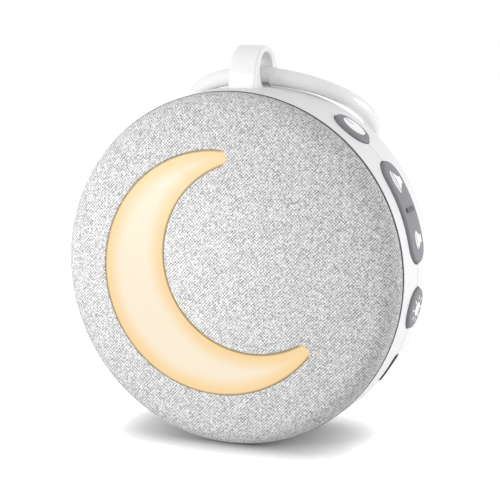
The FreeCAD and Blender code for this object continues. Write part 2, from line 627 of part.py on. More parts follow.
def draw_moon(sketch, grow):
    outer = number(f"moon_radius + {grow}")
    inner = number(f"bay_radius - ({grow})")
    tip = number(f"moon_tip + {grow}")
    turn = math.radians(number("bay_turn"))
    shift = number("bay_shift")
    centre = V(number("moon_left"), 0)
    bay = centre + V(shift * math.cos(turn), shift * math.sin(turn))
    to_tip = outer - tip
    to_bay = inner + tip
    spread = math.acos((to_tip ** 2 + shift ** 2 - to_bay ** 2) / (2 * to_tip * shift))
    high = centre + V(math.cos(turn + spread), math.sin(turn + spread)) * to_tip
    low = centre + V(math.cos(turn - spread), math.sin(turn - spread)) * to_tip

    def heading(start, stop):
        return math.atan2(stop.y - start.y, stop.x - start.x)

    def arc(middle, radius, start, stop):
        sketch.addGeometry(Part.ArcOfCircle(Part.Circle(middle, V(0, 0, 1), radius), start, stop))

    arc(centre, outer, heading(centre, high), heading(centre, low))
    arc(low, tip, heading(centre, low), heading(low, bay))
    arc(bay, inner, heading(bay, high), heading(bay, low))
    arc(high, tip, heading(high, bay), heading(centre, high))
    for first, end, second, start in ((0, 2, 1, 1), (1, 2, 2, 2), (2, 1, 3, 1), (3, 2, 0, 1)):
        sketch.addConstraint(Sketcher.Constraint("Tangent", first, end, second, start))
    for index, text in ((0, f"moon_radius + {grow}"), (1, f"moon_tip + {grow}"),
                        (2, f"bay_radius - ({grow})"), (3, f"moon_tip + {grow}")):
        limit = sketch.addConstraint(Sketcher.Constraint("Radius", index, number(text)))
        sketch.setExpression(f"Constraints[{limit}]", bound(text))
    rule(sketch, "DistanceX", 0, 3, "moon_left")
    rule(sketch, "DistanceY", 0, 3, "0")
    rule(sketch, "DistanceX", 2, 3, "moon_left + bay_shift * cos(bay_turn)")
    rule(sketch, "DistanceY", 2, 3, "bay_shift * sin(bay_turn)")


def moon(name, grow, back, length):
    # A crescent prism that runs forward from y = back
    prism = padded(name, length, "XZ_Plane", lambda sketch: draw_moon(sketch, grow))
    return place(prism, y=back)


# The front: a shallow dome whose edge rounds back to the seam side. Its layers share the
# centres of both arcs, and lie some inset under the cloth's outer face.

def crown_front(inset, radius="0"):
    # The dome's y at a distance from the puck's axis
    return f"({CROWN_BACK} - sqrt((crown_radius - ({inset}))^2 - ({radius})^2))"


def dome_edge(inset, y):
    # The radius where the rounded edge crosses a plane at y
    return f"({ROUND_RADIUS} + sqrt((front_round - ({inset}))^2 - ({y} + front_depth)^2))"


def dome_tangent(inset):
    # Where the dome meets its rounded edge
    share = f"((crown_radius - ({inset})) / {CROWN_REACH})"
    return f"({CROWN_BACK} - {share} * (front_depth + {CROWN_BACK}))", f"({share} * {ROUND_RADIUS})"


def dome_layer(name, front_inset, back_inset, radius):
    layer = turned(name, [
        (crown_front(front_inset, radius), radius, ("y", "0")), (crown_front(front_inset), "0"),
        (crown_front(back_inset), "0", ("y", "0")), (crown_front(back_inset, radius), radius)])
    return place(layer)


# Cloth cover: stretched over the dome and turned in behind the grille's rim

def fabric_cover():
    hem = f"({FRONT_EDGE} - hem_width)"
    hem_front = f"({COVER_BACK} - cloth)"
    cover = place(turned("ClothCover", [
        (COVER_BACK, hem), (COVER_BACK, dome_edge("0", COVER_BACK), ("x", "-front_depth")),
        (*dome_tangent("0"), ("y", "0")), (crown_front("0"), "0"),
        (crown_front("cloth"), "0", ("y", "0")), (*dome_tangent("cloth"), ("x", "-front_depth")),
        (hem_front, dome_edge("cloth", hem_front)), (hem_front, hem)]))
    window = moon("ClothWindow", "lens_gap", "-front_depth", "3 * front_round")
    return keep("fabric_cover", cut("FabricCover", cover, [window]))


# Grille: a domed plate with a crescent window, sound holes, posts and a snap-in spigot

def light_posts():
    # Angles of the light board's posts, round the back of the crescent
    return [number("bay_turn") + 180 + lean for lean in POST_LEANS]


def grille_panel():
    spigot = f"({INSIDE} - spigot_gap)"
    spigot_inner = f"({spigot} - spigot_wall)"
    spigot_back = "(-front_depth + spigot_depth)"
    back = crown_front(GRILLE_BACK, spigot_inner)
    dish = place(turned("GrilleDish", [
        (RIM_BACK, spigot), (RIM_BACK, dome_edge(GRILLE_INSET, RIM_BACK), ("x", "-front_depth")),
        (*dome_tangent(GRILLE_INSET), ("y", "0")), (crown_front(GRILLE_INSET), "0"),
        (crown_front(GRILLE_BACK), "0", ("y", "0")), (back, spigot_inner), (spigot_back, spigot_inner),
        (spigot_back, spigot)]))
    dress(dish, "Fillet", "grille_inner_round", ring_edge(back, spigot_inner))
    parts = [dish]
    tools = [moon("GrilleWindow", "lens_gap", "-front_depth", "3 * front_round")]
    reach = "(moon_radius + light_post_out)"
    post_end = f"({LIGHT_BOARD_FRONT} - board_fit)"
    for number_of, angle in enumerate(light_posts()):
        x, z = around(reach, angle)
        x = f"moon_left + {x}"
        start = f"({crown_front(GRILLE_BACK, reach)} - grille_wall / 2)"
        parts.append(rod(f"LightPost{number_of}", "light_post", start, f"{post_end} - {start}", x, z))
        tip = f"({LIGHT_BOARD_BACK} + board_fit - light_screw_length)"
        tools.append(rod(f"LightPilot{number_of}", "light_screw + thread_gap", f"{tip} - thread_gap",
                         f"{post_end} - {tip} + thread_gap", x, z))
    bay_x = "moon_left + bay_shift * cos(bay_turn)"
    bay_z = "bay_shift * sin(bay_turn)"
    for ring in range(int(number("grille_rings")) + 1):
        copies = max(1, 6 * ring)
        for copy in range(copies):
            x, z = around(f"{ring} * grille_pitch", 360 / copies * copy)
            tools.append(rod(f"SoundHole{ring}x{copy}", "grille_hole", "-front_depth - 2 * front_round",
                             "2 * front_round", f"{bay_x} + {x}", f"{bay_z} + {z}"))
    return keep("grille_panel", cut("GrillePanel", join("GrilleSolid", parts), tools))


# Night light: a milky lens flush with the cloth, its lamps, their board and three screws

def night_light_lens():
    back = f"({GRILLE_BACK} + cloth_gap)"
    reach = "(moon_radius + light_board_margin)"
    thick = dome_layer("LensThickLayer", "0", f"{back} + lens_flange_wall", reach)
    thin = dome_layer("LensThinLayer", back, f"{back} + lens_flange_wall", reach)
    parts = []
    for label, layer, grow in (("Face", thick, "0"), ("Flange", thin, "lens_flange")):
        common = doc.addObject("Part::Common", f"Lens{label}")
        common.Base = layer
        common.Tool = moon(f"Lens{label}Moon", grow, "-front_depth", "3 * front_round")
        parts.append(common)
    return keep("night_light_lens", join("NightLightLens", parts))


def light_board():
    board = moon("LightBoardBlank", "light_board_margin", LIGHT_BOARD_BACK, "light_board_wall")
    holes = []
    screws = []
    for number_of, angle in enumerate(light_posts()):
        x, z = around("(moon_radius + light_post_out)", angle)
        x = f"moon_left + {x}"
        back = f"({LIGHT_BOARD_BACK} + board_fit)"
        holes.append(rod(f"LightBoardHole{number_of}", "light_screw + screw_gap", LIGHT_BOARD_FRONT,
                         "light_board_wall", x, z))
        shank = rod(f"LightShank{number_of}", "light_screw", f"{back} - light_screw_length",
                    "light_screw_length", x, z)
        head = rod(f"LightHead{number_of}", "light_screw_head", back, "light_screw", x, z)
        screws.append(join(f"LightScrew{number_of}", [shank, head]))
    keep("light_board", cut("LightBoard", board, holes))
    keep("light_board_screws", group("LightBoardScrews", screws))
    lamps = []
    middle = "(moon_radius - lamp_inset)"
    for copy in range(LAMPS):
        angle = f"(bay_turn + 180 + {copy - (LAMPS - 1) / 2} * lamp_step)"
        lamp = block(f"Lamp{copy}", ("-lamp_width / 2", "lamp_width / 2"),
                     (f"{LIGHT_BOARD_FRONT} - lamp_depth", LIGHT_BOARD_FRONT),
                     (f"{middle} - lamp_height / 2", f"{middle} + lamp_height / 2"), angle)
        lean = f"(90 - {angle})"
        lamp.setExpression("Placement.Base.x", bound(
            f"moon_left + (-lamp_width / 2) * cos{lean} + ({middle} - lamp_height / 2) * sin{lean}"))
        lamps.append(lamp)
    keep("night_light_lamps", group("NightLightLamps", lamps))


# Speaker: basket, magnet between two plates, coil, cone, dust cap, surround and gasket

def speaker():
    gasket = turned("SpeakerGasket", [
        (f"{BAFFLE_BACK} + speaker_fit", "gasket_inner"), (f"{BAFFLE_BACK} + speaker_fit", "speaker_radius"),
        (f"{BAFFLE_BACK} + speaker_fit + gasket_wall", "speaker_radius"),
        (f"{BAFFLE_BACK} + speaker_fit + gasket_wall", "gasket_inner")])
    holes = []
    screws = []
    for number_of, angle in enumerate(SPEAKER_SCREW_ANGLES):
        x, z = around("speaker_screw_circle", angle)
        holes.append(rod(f"SpeakerHole{number_of}", "speaker_screw + screw_gap / 3", BAFFLE_BACK,
                         f"{FLANGE_BACK} - {BAFFLE_BACK}", x, z))
        seat = f"({FLANGE_BACK} + board_fit)"
        shank = rod(f"SpeakerShank{number_of}", "speaker_screw", f"{seat} - speaker_screw_length",
                    "speaker_screw_length", x, z)
        head = rod(f"SpeakerHead{number_of}", "speaker_screw_head", seat, "speaker_screw", x, z)
        screws.append(join(f"SpeakerScrew{number_of}", [shank, head]))
    keep("speaker_gasket", cut("SpeakerGasketCut", place(gasket), holes))
    keep("speaker_screws", group("SpeakerScrews", screws))
    floor_front = f"({BASKET_BACK} - basket_wall)"
    frame = turned("BasketTurned", [
        (FLANGE_FRONT, "surround_outer"), (FLANGE_FRONT, "speaker_radius"), (FLANGE_BACK, "speaker_radius"),
        (FLANGE_BACK, "surround_outer + basket_wall"), (BASKET_BACK, "basket_floor"),
        (BASKET_BACK, "plate_bore + basket_wall"), (floor_front, "plate_bore + basket_wall"),
        (floor_front, "basket_floor - basket_wall"), (FLANGE_BACK, "surround_outer")])
    place(frame)
    windows = []
    for number_of, angle in enumerate(SPEAKER_SCREW_ANGLES):
        windows.append(block(f"BasketWindow{number_of}", ("-basket_window / 2", "basket_window / 2"),
                             (f"{FLANGE_BACK} + basket_wall", f"{floor_front} - basket_wall / 2"),
                             ("basket_floor - 2 * basket_wall", "speaker_radius"), f"{angle - 45}"))
    keep("speaker_basket", cut("SpeakerBasket", frame, windows + holes))
    keep("speaker_front_plate", place(turned("FrontPlate", [
        (BASKET_BACK, "plate_bore"), (BASKET_BACK, "basket_floor"),
        (MAGNET_FRONT, "basket_floor"), (MAGNET_FRONT, "plate_bore")])))
    keep("speaker_magnet", place(turned("Magnet", [
        (MAGNET_FRONT, "magnet_bore"), (MAGNET_FRONT, "magnet_radius"),
        (MAGNET_BACK, "magnet_radius"), (MAGNET_BACK, "magnet_bore")])))
    keep("speaker_yoke", place(turned("Yoke", [
        (BASKET_BACK, "0"), (BASKET_BACK, "pole_radius"), (MAGNET_BACK, "pole_radius"),
        (MAGNET_BACK, "basket_floor"), (f"{MAGNET_BACK} + yoke_wall", "basket_floor"),
        (f"{MAGNET_BACK} + yoke_wall", "0")])))
    front = f"({FLANGE_FRONT} - surround_wall)"
    roll = f"({front} - surround_roll)"
    crest = "((surround_outer - surround_inner) / 4)"
    inner_edge = "(surround_inner + surround_wall)"
    keep("speaker_surround", place(turned("Surround", [
        (front, "surround_inner"), (roll, f"surround_inner + {crest}"), (roll, f"surround_outer - {crest}"),
        (front, "surround_outer"), (front, "surround_land"), (FLANGE_FRONT, "surround_land"),
        (FLANGE_FRONT, "surround_outer"), (f"{roll} + surround_wall", f"surround_outer - {crest}"),
        (f"{roll} + surround_wall", f"surround_inner + {crest}"), (FLANGE_FRONT, inner_edge),
        (FLANGE_FRONT, "surround_inner")])))
    rim = "(surround_inner - cone_gap)"
    neck = "(coil_radius + coil_wall)"
    keep("speaker_cone", place(turned("Cone", [
        (CONE_FRONT, rim), (f"{CONE_FRONT} + cone_wall", rim), (CONE_BACK, neck), (CONE_BACK, "coil_radius"),
        (f"{CONE_BACK} - cone_wall", "coil_radius")])))
    keep("voice_coil", place(turned("Coil", [
        (CONE_BACK, "coil_radius"), (CONE_BACK, neck),
        (f"{CONE_BACK} + coil_length", neck), (f"{CONE_BACK} + coil_length", "coil_radius")])))
    cap = f"({CONE_BACK} - 2 * cone_wall)"
    keep("speaker_dust_cap", place(turned("DustCap", [
        (cap, neck, ("y", "0")), (f"{cap} - cap_rise", "0"),
        (f"{cap} - cap_rise + cone_wall", "0", ("y", "0")), (cap, "coil_radius")])))


# Main board, clamped between the shells' bosses, with what is soldered to it

def main_board():
    def draw(sketch):
        draw_circle(sketch, BOARD_RADIUS)
        draw_circle(sketch, "board_hole")
    board = place(padded("MainBoardBlank", "board_wall", "XZ_Plane", draw, backwards=True), y=BOARD_FRONT)
    tools = []
    for number_of, angle in enumerate(BOSS_ANGLES):
        x, z = around(BOSS_CIRCLE, angle)
        tools.append(rod(f"BoardHole{number_of}", "case_screw + screw_gap", BOARD_FRONT, "board_wall", x, z))
    notch = f"{PIVOT} - bracket_drop - notch_gap"
    tools.append(block("BracketNotch", ("-bracket_width / 2 - notch_gap", "bracket_width / 2 + notch_gap"),
                       (BOARD_FRONT, BOARD_BACK), (notch, INSIDE), ROCKER_ANGLE))
    keep("main_board", cut("MainBoard", board, tools))
    face = (f"{BOARD_BACK} + board_fit", f"{BOARD_BACK} + board_fit + chip_wall")
    left = f"(-{BOARD_RADIUS} + chip_inset)"
    keep("sound_chip", block("SoundChip", (f"{left} - chip_side", left), face, ("0", "chip_side")))
    keep("amplifier_chip", block("AmplifierChip", (f"{left} - amplifier_side", left), face,
                                 ("-2 * amplifier_side", "-amplifier_side")))
    cans = []
    for copy, angle in enumerate(CAPACITOR_ANGLES):
        x, z = around(f"({BOARD_RADIUS} + board_hole) / 2", angle)
        cans.append(rod(f"Capacitor{copy}", "capacitor_radius",
                        f"{BOARD_FRONT} - board_fit - capacitor_height", "capacitor_height", x, z))
    keep("capacitors", group("Capacitors", cans))


def switches():
    # Four switches that push outwards, each just under the stem that works it
    places = (("Power", POWER_ANGLE, STEM_BOTTOM, "button_travel"),
              ("Light", LIGHT_ANGLE, STEM_BOTTOM, "button_travel"),
              ("Louder", f"{ROCKER_ANGLE} + {ROCKER_STEM_ANGLE}", ROCKER_STEM_BOTTOM, None),
              ("Softer", f"{ROCKER_ANGLE} - {ROCKER_STEM_ANGLE}", ROCKER_STEM_BOTTOM, None))
    group_of = []
    for label, angle, stem, travel in places:
        swing = f"({stem} * sin({ROCKER_STEM_ANGLE}) + stem_radius) * tan(rocker_tilt)"
        tip = f"({stem} - press_gap - {travel or swing})"
        top = f"({tip} - plunger_length)"
        body = block(f"Switch{label}", ("-switch_width / 2", "switch_width / 2"),
                     (f"{BOARD_FRONT} - board_fit - switch_height", f"{BOARD_FRONT} - board_fit"),
                     (f"{top} - switch_depth", top), angle)
        plunger = spoke(f"Plunger{label}", "plunger_radius", f"{top} - plunger_length",
                        "2 * plunger_length", angle)
        group_of.append(join(f"{label}Switch", [body, plunger]))
    keep("tact_switches", group("TactSwitches", group_of))


def charging_port():
    # A metal sleeve with round sides, closed behind, and the tongue inside it
    mouth = f"({INSIDE} - port_setback)"
    sleeve = padded("PortSleeve", "port_length", "XY_Plane",
                    lambda sketch: draw_slot(sketch, "(port_width / 2)", "(port_height / 2)"))
    hollow = padded("PortHollow", "port_length - port_wall", "XY_Plane", lambda sketch: draw_slot(
        sketch, "(port_width / 2 - port_wall)", "(port_height / 2 - port_wall)"))
    root = f"{mouth} - port_length"
    tongue = block("PortTongue", ("-tongue_width / 2", "tongue_width / 2"),
                   ("-tongue_wall / 2", "tongue_wall / 2"),
                   (f"{root} + port_wall / 2", f"{root} + tongue_length"), PORT_ANGLE)
    for item, start in ((sleeve, root), (hollow, f"{root} + port_wall")):
        x, z = around(start, PORT_ANGLE)
        place(item, x, "0", f"{AXIS_HEIGHT} + {z}", f"90 - {PORT_ANGLE}", (0, 1, 0))
    keep("charging_port", join("ChargingPort", [cut("PortShell", sleeve, [hollow]), tongue]))


# Battery and the foam tape that holds it to the back

def battery():
    def draw(width, height):
        def outline(sketch):
            x = f"({width} / 2)"
            z = f"({height} / 2)"
            draw_outline(sketch, [(f"-{x}", f"-{z}"), (x, f"-{z}"), (x, z), (f"-{x}", z)])
        return outline
    cell = padded("BatteryCell", "battery_depth", "XZ_Plane", draw("battery_width", "battery_height"))
    place(cell, y=BATTERY_BACK)

    def upright(edge):
        box = edge.BoundBox
        return box.ZLength < 1e-4 and box.XLength > 1
    dress(cell, "Fillet", "battery_round", upright)
    keep("battery", cell)
    tape = padded("BatteryTape", "tape_wall", "XZ_Plane", draw("tape_width", "tape_height"))
    keep("battery_tape", place(tape, y=TAPE_BACK))


def case_screws():
    screws = []
    for number_of, angle in enumerate(BOSS_ANGLES):
        x, z = around(BOSS_CIRCLE, angle)
        shank = rod(f"CaseShank{number_of}", "case_screw", f"{SCREW_SEAT} - case_screw_length",
                    "case_screw_length", x, z)
        head = rod(f"CaseHead{number_of}", "case_screw_head", SCREW_SEAT, "case_screw_head_height", x, z)
        screws.append(join(f"CaseScrew{number_of}", [shank, head]))
    keep("case_screws", group("CaseScrews", screws))


# Buttons: rubber caps with a rounded top, a flange under the rim and a stem

def cap_side(flange_top, sign=""):
    # One side of a cap's section: its domed top, its rounded edge and its flange. The
    # edge's arc touches the dome and the straight side.
    return [(f"{sign}{DOME_REACH}", DOME_EDGE, ("x", f"{sign}(button_radius - button_round)")),
            (f"{sign}button_radius", ROUND_CENTRE), (f"{sign}button_radius", flange_top),
            (f"{sign}{FLANGE_RADIUS}", flange_top),
            (f"{sign}{FLANGE_RADIUS}", f"({flange_top} - flange_wall)")]


def round_button(node, name, angle):
    # Drawn upright at the top of the puck, then turned to its place
    button = turned(name, [
        ("0", CAP_TOP, ("x", "0")), *cap_side(FLANGE_TOP), ("stem_radius", FLANGE_BOTTOM),
        ("stem_radius", STEM_BOTTOM), ("0", STEM_BOTTOM)], about="radial")
    return keep(node, place_radial(button, angle))


def volume_rocker():
    # The same cap carried along the rim, with a half-round end each way
    reach, edge, rounding = cap_side(ROCKER_TOP, "-")[0]
    other_side = [(x, radius) for x, radius in reversed(cap_side(ROCKER_TOP, "-")[1:])]
    other_side[-1] = (*other_side[-1], rounding)
    middle = turned("RockerMiddle", [
        *other_side, (reach, edge, ("x", "0")), ("0", CAP_TOP, ("x", "0")),
        *cap_side(ROCKER_TOP)], angle=ROCKER_SPAN)
    parts = [place_radial(middle, ROCKER_ANGLE)]
    for label, place_of, outwards in (("Low", "-", ""), ("High", "+", "-")):
        end = turned(f"Rocker{label}End", [
            ("0", CAP_TOP, ("x", "0")), *cap_side(ROCKER_TOP, outwards), ("0", ROCKER_BOTTOM)],
                     about="radial", angle="180", plane="XZ_Plane")
        parts.append(place_radial(end, f"{ROCKER_ANGLE} {place_of} {ROCKER_SPAN} / 2"))
        parts.append(spoke(f"Rocker{label}Stem", "stem_radius", ROCKER_STEM_BOTTOM,
                           "stem_length + flange_wall / 2",
                           f"{ROCKER_ANGLE} {place_of} {ROCKER_STEM_ANGLE}"))
    parts.append(block("RockerLug", ("-lug_width / 2", "lug_width / 2"), ("-lug_half", "lug_half"),
                       (f"{PIVOT} - 2 * pivot_radius", f"{ROCKER_TOP} - flange_wall / 2"), ROCKER_ANGLE))
    parts.append(block("RockerRib", ("-rib_width / 2", "rib_width / 2"),
                       ("-rib_length / 2", "rib_length / 2"),
                       ("body_radius", "body_radius + button_stand + rib_height"), ROCKER_ANGLE))
    x, z = around(PIVOT, ROCKER_ANGLE)
    bore = rod("RockerBore", "pivot_radius + pivot_gap", "-2 * lug_half", "4 * lug_half", x, z)
    keep("volume_rocker", cut("VolumeRocker", join("RockerSolid", parts), [bore]))
    ear_in = "(lug_half + ear_gap)"
    ear_out = f"({ear_in} + ear_wall)"
    floor = f"({PIVOT} - bracket_drop)"
    side = ("-bracket_width / 2", "bracket_width / 2")
    base = (floor, f"{floor} + bracket_base")
    frame = [block("BracketBase", side, (f"-{ear_out}", ear_out), base, ROCKER_ANGLE)]
    for label, low, high in (("Front", f"-{ear_out}", f"-{ear_in}"), ("Back", ear_in, ear_out)):
        frame.append(block(f"BracketEar{label}", side, (low, high), (floor, f"{PIVOT} + ear_top"),
                           ROCKER_ANGLE))
    bores = [rod("BracketBore", "pivot_radius + pivot_fit", f"-2 * {ear_out}", f"4 * {ear_out}", x, z)]
    keep("rocker_bracket", cut("RockerBracket", join("BracketSolid", frame), bores))
    keep("rocker_pin", rod("RockerPin", "pivot_radius", f"-{ear_out}", f"2 * {ear_out}", x, z))


# Hanger: the eye trapped in the shells, the open ring and the pin that closes it

def hanger_eye():
    base = f"({INSIDE} - eye_foot_drop - eye_foot_wall / 2)"

    def draw(sketch):
        arch = "(body_radius + eye_arch_rise)"
        crown = f"({arch} + eye_arch)"
        draw_outline(sketch, [
            ("-eye_base", base), ("-eye_base", "body_radius"), ("-eye_arch", arch, ("y", arch)),
            ("0", crown, ("y", arch)), ("eye_arch", arch), ("eye_base", "body_radius"), ("eye_base", base)])
        draw_circle(sketch, "eye_hole", "0", "(body_radius + eye_hole_rise)")
    loop = padded("EyeLoop", "2 * eye_half", "YZ_Plane", draw, both_ways=True)
    place(loop, y="eye_back")

    def on_side(edge):
        box = edge.BoundBox
        return box.XLength < 1e-4 and box.ZMax > number(base) + 0.1
    dress(loop, "Fillet", "eye_round", on_side)
    foot = block("EyeFoot", ("-eye_foot_half", "eye_foot_half"),
                 ("eye_back - eye_foot_long", "eye_back + eye_foot_long"),
                 (f"{INSIDE} - eye_foot_drop - eye_foot_wall", f"{INSIDE} - eye_foot_drop"))
    return keep("hanger_eye", join("HangerEye", [loop, foot]))


def hanging_ring():
    torus = doc.addObject("Part::Torus", "RingTorus")
    torus.setExpression("Radius1", bound("ring_radius"))
    torus.setExpression("Radius2", bound("ring_tube"))
    out = "(ring_radius * cos(ring_rest) - ring_drop * sin(ring_rest))"
    down = "(ring_radius * sin(ring_rest) + ring_drop * cos(ring_rest))"
    place(torus, "0", f"{NECK_Y} + {out}", f"{AXIS_HEIGHT} + {NECK_Z} - {down}", "-ring_rest", (1, 0, 0))
    reach = "ring_radius / 2"
    gap = block("RingGap", ("-ring_end", "ring_end"), (f"{NECK_Y} - {reach}", f"{NECK_Y} + {reach}"),
                (f"{NECK_Z} - {reach}", f"{NECK_Z} + {reach}"))
    bore = doc.addObject("Part::Cylinder", "RingBore")
    bore.setExpression("Radius", bound("peg_radius + thread_gap"))
    bore.setExpression("Height", bound("2 * (ring_end + peg_length + thread_gap)"))
    place(bore, "-(ring_end + peg_length + thread_gap)", NECK_Y, f"{AXIS_HEIGHT} + {NECK_Z}", "90", (0, 1, 0))
    keep("hanging_ring", cut("HangingRing", torus, [gap, bore]))
    # The pin's outline is drawn as (y, radius) and turned about y, then laid along X
    shoulder = "(ring_end - neck_gap)"
    tip = "(ring_end + peg_length - neck_gap)"
    pin = turned("RingPinTurned", [
        (f"-{tip}", "0"), (f"-{tip}", "peg_radius"), (f"-{shoulder}", "peg_radius"),
        (f"-{shoulder}", "neck_radius"), (shoulder, "neck_radius"), (shoulder, "peg_radius"),
        (tip, "peg_radius"), (tip, "0")])
    keep("ring_pin", place(pin, "0", NECK_Y, f"{AXIS_HEIGHT} + {NECK_Z}", "-90"))


def foot_pad():
    pad = padded("FootPad", "foot_wall - foot_gap / 2", "XY_Plane", lambda sketch: draw_pad(sketch, "0"))
    return keep("foot_pad", place(pad, z="0"))


front_shell()
rear_shell()
fabric_cover()
grille_panel()
night_light_lens()
light_board()
speaker()
main_board()
switches()
charging_port()
battery()
case_screws()
round_button("power_button", "PowerButton", POWER_ANGLE)
round_button("light_button", "LightButton", LIGHT_ANGLE)
volume_rocker()
hanger_eye()
hanging_ring()
foot_pad()
doc.recompute()

failed = [item.Name for item in doc.Objects if "Invalid" in item.State or "Error" in item.State]
if failed:
    raise SystemExit(f"objects that failed: {failed}")
for node, item in pieces.items():
    if item.Shape.isNull() or not item.Shape.isValid() or not item.Shape.Solids:
        raise SystemExit(f"{node} has no valid solid")

os.makedirs("parts", exist_ok=True)
for node, item in pieces.items():
    item.Shape.exportStep(f"parts/{node}.step")
    print(f"{node}: {len(item.Shape.Solids)} solid(s), {item.Shape.Volume:.1f} mm3")
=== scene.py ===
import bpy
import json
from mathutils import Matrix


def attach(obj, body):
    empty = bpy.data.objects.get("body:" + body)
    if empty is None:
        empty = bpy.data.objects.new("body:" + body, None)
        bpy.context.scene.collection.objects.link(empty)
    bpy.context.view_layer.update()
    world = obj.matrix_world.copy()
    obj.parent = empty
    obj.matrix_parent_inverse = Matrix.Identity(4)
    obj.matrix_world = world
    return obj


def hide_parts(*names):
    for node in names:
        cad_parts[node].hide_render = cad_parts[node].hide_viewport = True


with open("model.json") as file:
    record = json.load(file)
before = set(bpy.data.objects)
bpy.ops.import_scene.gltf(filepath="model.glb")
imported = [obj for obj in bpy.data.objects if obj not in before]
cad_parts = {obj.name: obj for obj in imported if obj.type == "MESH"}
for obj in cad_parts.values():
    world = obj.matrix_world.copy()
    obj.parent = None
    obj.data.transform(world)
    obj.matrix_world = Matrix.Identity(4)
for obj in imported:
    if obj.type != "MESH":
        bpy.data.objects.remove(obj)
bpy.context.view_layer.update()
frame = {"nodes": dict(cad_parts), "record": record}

import json
import math

import bpy
import numpy as np
from mathutils import Vector
from mathutils.geometry import delaunay_2d_cdt

# Shapes are worked out in millimetres and written to Blender in metres. Directions are
# the frame's own: X right, Y to the back along the puck's axis, Z up.
mm = 0.001

puck = {
    "height": 49.6,  # of the puck's axis over the table
    "edgeY": -11.6,  # back of the front's rounded edge
    "edgeRadius": 49.453,
    "coverGap": 0.9,  # from there to the cloth's hem
}
front = {"crown": 460.0, "rounding": 6.4}  # radii of the dome and of its rounded edge
moon = {
    "centre": (-1.5, 0.0),
    "outer": 34.0,  # radius of the outer arc
    "bay": 26.5,  # radius of the inner arc
    "shift": 12.0,  # from the outer arc's centre to the inner arc's
    "turn": 25.0,  # direction of that shift above +X
    "tip": 2.2,  # radius of the tips
    "step": 0.7,  # between points on the border
}
honeycomb = {"rowStep": 0.866, "clear": 0.6}  # as shares of the spacing of its points


# Meshes

def meshPiece(name, points, faces, body="puck", smooth=True):
    # Faces come as arrays of point numbers, each with one row for a face
    corners = [face for block in faces for face in block.tolist()]
    mesh = bpy.data.meshes.new(name)
    mesh.from_pydata((points * mm).tolist(), [], corners)
    mesh.polygons.foreach_set("use_smooth", np.full(len(corners), smooth))
    mesh.update()
    piece = bpy.data.objects.new(name, mesh)
    bpy.context.scene.collection.objects.link(piece)
    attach(piece, body)
    return piece


def squares(here, there):
    # From each step along one closed row of point numbers to the same step of the next row
    return np.stack([here, np.roll(here, -1), np.roll(there, -1), there], 1)


def gridFaces(rows, columns, closed=False):
    # Squares between neighbouring rows of points. A closed grid's last row joins the first.
    here = np.arange(rows * columns).reshape(rows, columns)
    there = np.roll(here, -1, axis=0)
    count = rows if closed else rows - 1
    return np.concatenate([squares(here[k], there[k]) for k in range(count)])


def evenAngles(count):
    return np.arange(count) * 2 * math.pi / count


def insideLoops(places, loops):
    # Even-odd rule: a place is inside where a line to its right crosses the loops' edges an
    # odd number of times
    start = np.concatenate(loops)
    stop = np.concatenate([np.roll(loop, -1, axis=0) for loop in loops])
    x, y = places[:, :1], places[:, 1:]
    crossing = (start[:, 1] > y) != (stop[:, 1] > y)
    rise = stop[:, 1] - start[:, 1] + 1e-12
    reach = (stop[:, 0] - start[:, 0]) * (y - start[:, 1]) / rise + start[:, 0]
    return (crossing & (x < reach)).sum(1) % 2 == 1


def nearest(places, others):
    # For each place, the number of the nearest of some others and its distance
    distance = np.hypot(places[:, :1] - others[:, 0], places[:, 1:] - others[:, 1])
    return distance.argmin(1), distance.min(1)


def fillLoops(loops, spacing):
    # Flat triangles between closed loops, over a honeycomb of points: every second row is
    # moved by half the spacing. The loops' points come first and keep their order.
    border = np.concatenate(loops)
    low, high = border.min(0), border.max(0)
    x, y = np.meshgrid(np.arange(low[0], high[0], spacing),
                       np.arange(low[1], high[1], spacing * honeycomb["rowStep"]))
    x = x + spacing / 2 * (np.arange(len(x)) % 2)[:, None]
    grid = np.stack([x, y], 2).reshape(-1, 2)
    grid = grid[insideLoops(grid, loops)]
    if len(grid):
        grid = grid[nearest(grid, border)[1] > spacing * honeycomb["clear"]]
    places = np.concatenate([border, grid])
    edges = []
    for loop in loops:
        numbers = len(edges) + np.arange(len(loop))
        edges += np.stack([numbers, np.roll(numbers, -1)], 1).tolist()
    result = delaunay_2d_cdt([Vector(p) for p in places], edges, [], 0, 1e-7)
    lookup = np.array([origin[0] if origin else -1 for origin in result[3]])
    faces = lookup[np.array([face for face in result[2] if len(face) == 3])]
    faces = faces[(faces >= 0).all(1)]
    faces = faces[insideLoops(places[faces].mean(1), loops)]
    a, b, c = (places[faces[:, k]] for k in range(3))
    turning = (b - a)[:, 0] * (c - a)[:, 1] - (b - a)[:, 1] * (c - a)[:, 0]
    faces[turning < 0] = faces[turning < 0][:, ::-1]
    return places, faces[np.abs(turning) > 1e-9]


def polygonArea(loop):
    # Half the sum of each edge's cross product
    after = np.roll(loop, -1, axis=0)
    return abs((loop[:, 0] * after[:, 1] - loop[:, 1] * after[:, 0]).sum()) / 2


def resample(loop, like):
    # The same number of points as another loop, each at the nearest tenth of an edge
    step = np.roll(loop, -1, axis=0) - loop
    fine = np.concatenate([loop + step * share for share in np.linspace(0, 0.9, 10)])
    return fine[nearest(like, fine)[0]]


def circleLoop(radius, count):
    # Radius times the cosine and sine of even angles
    angles = evenAngles(count)
    return np.stack([radius * np.cos(angles), radius * np.sin(angles)], 1)


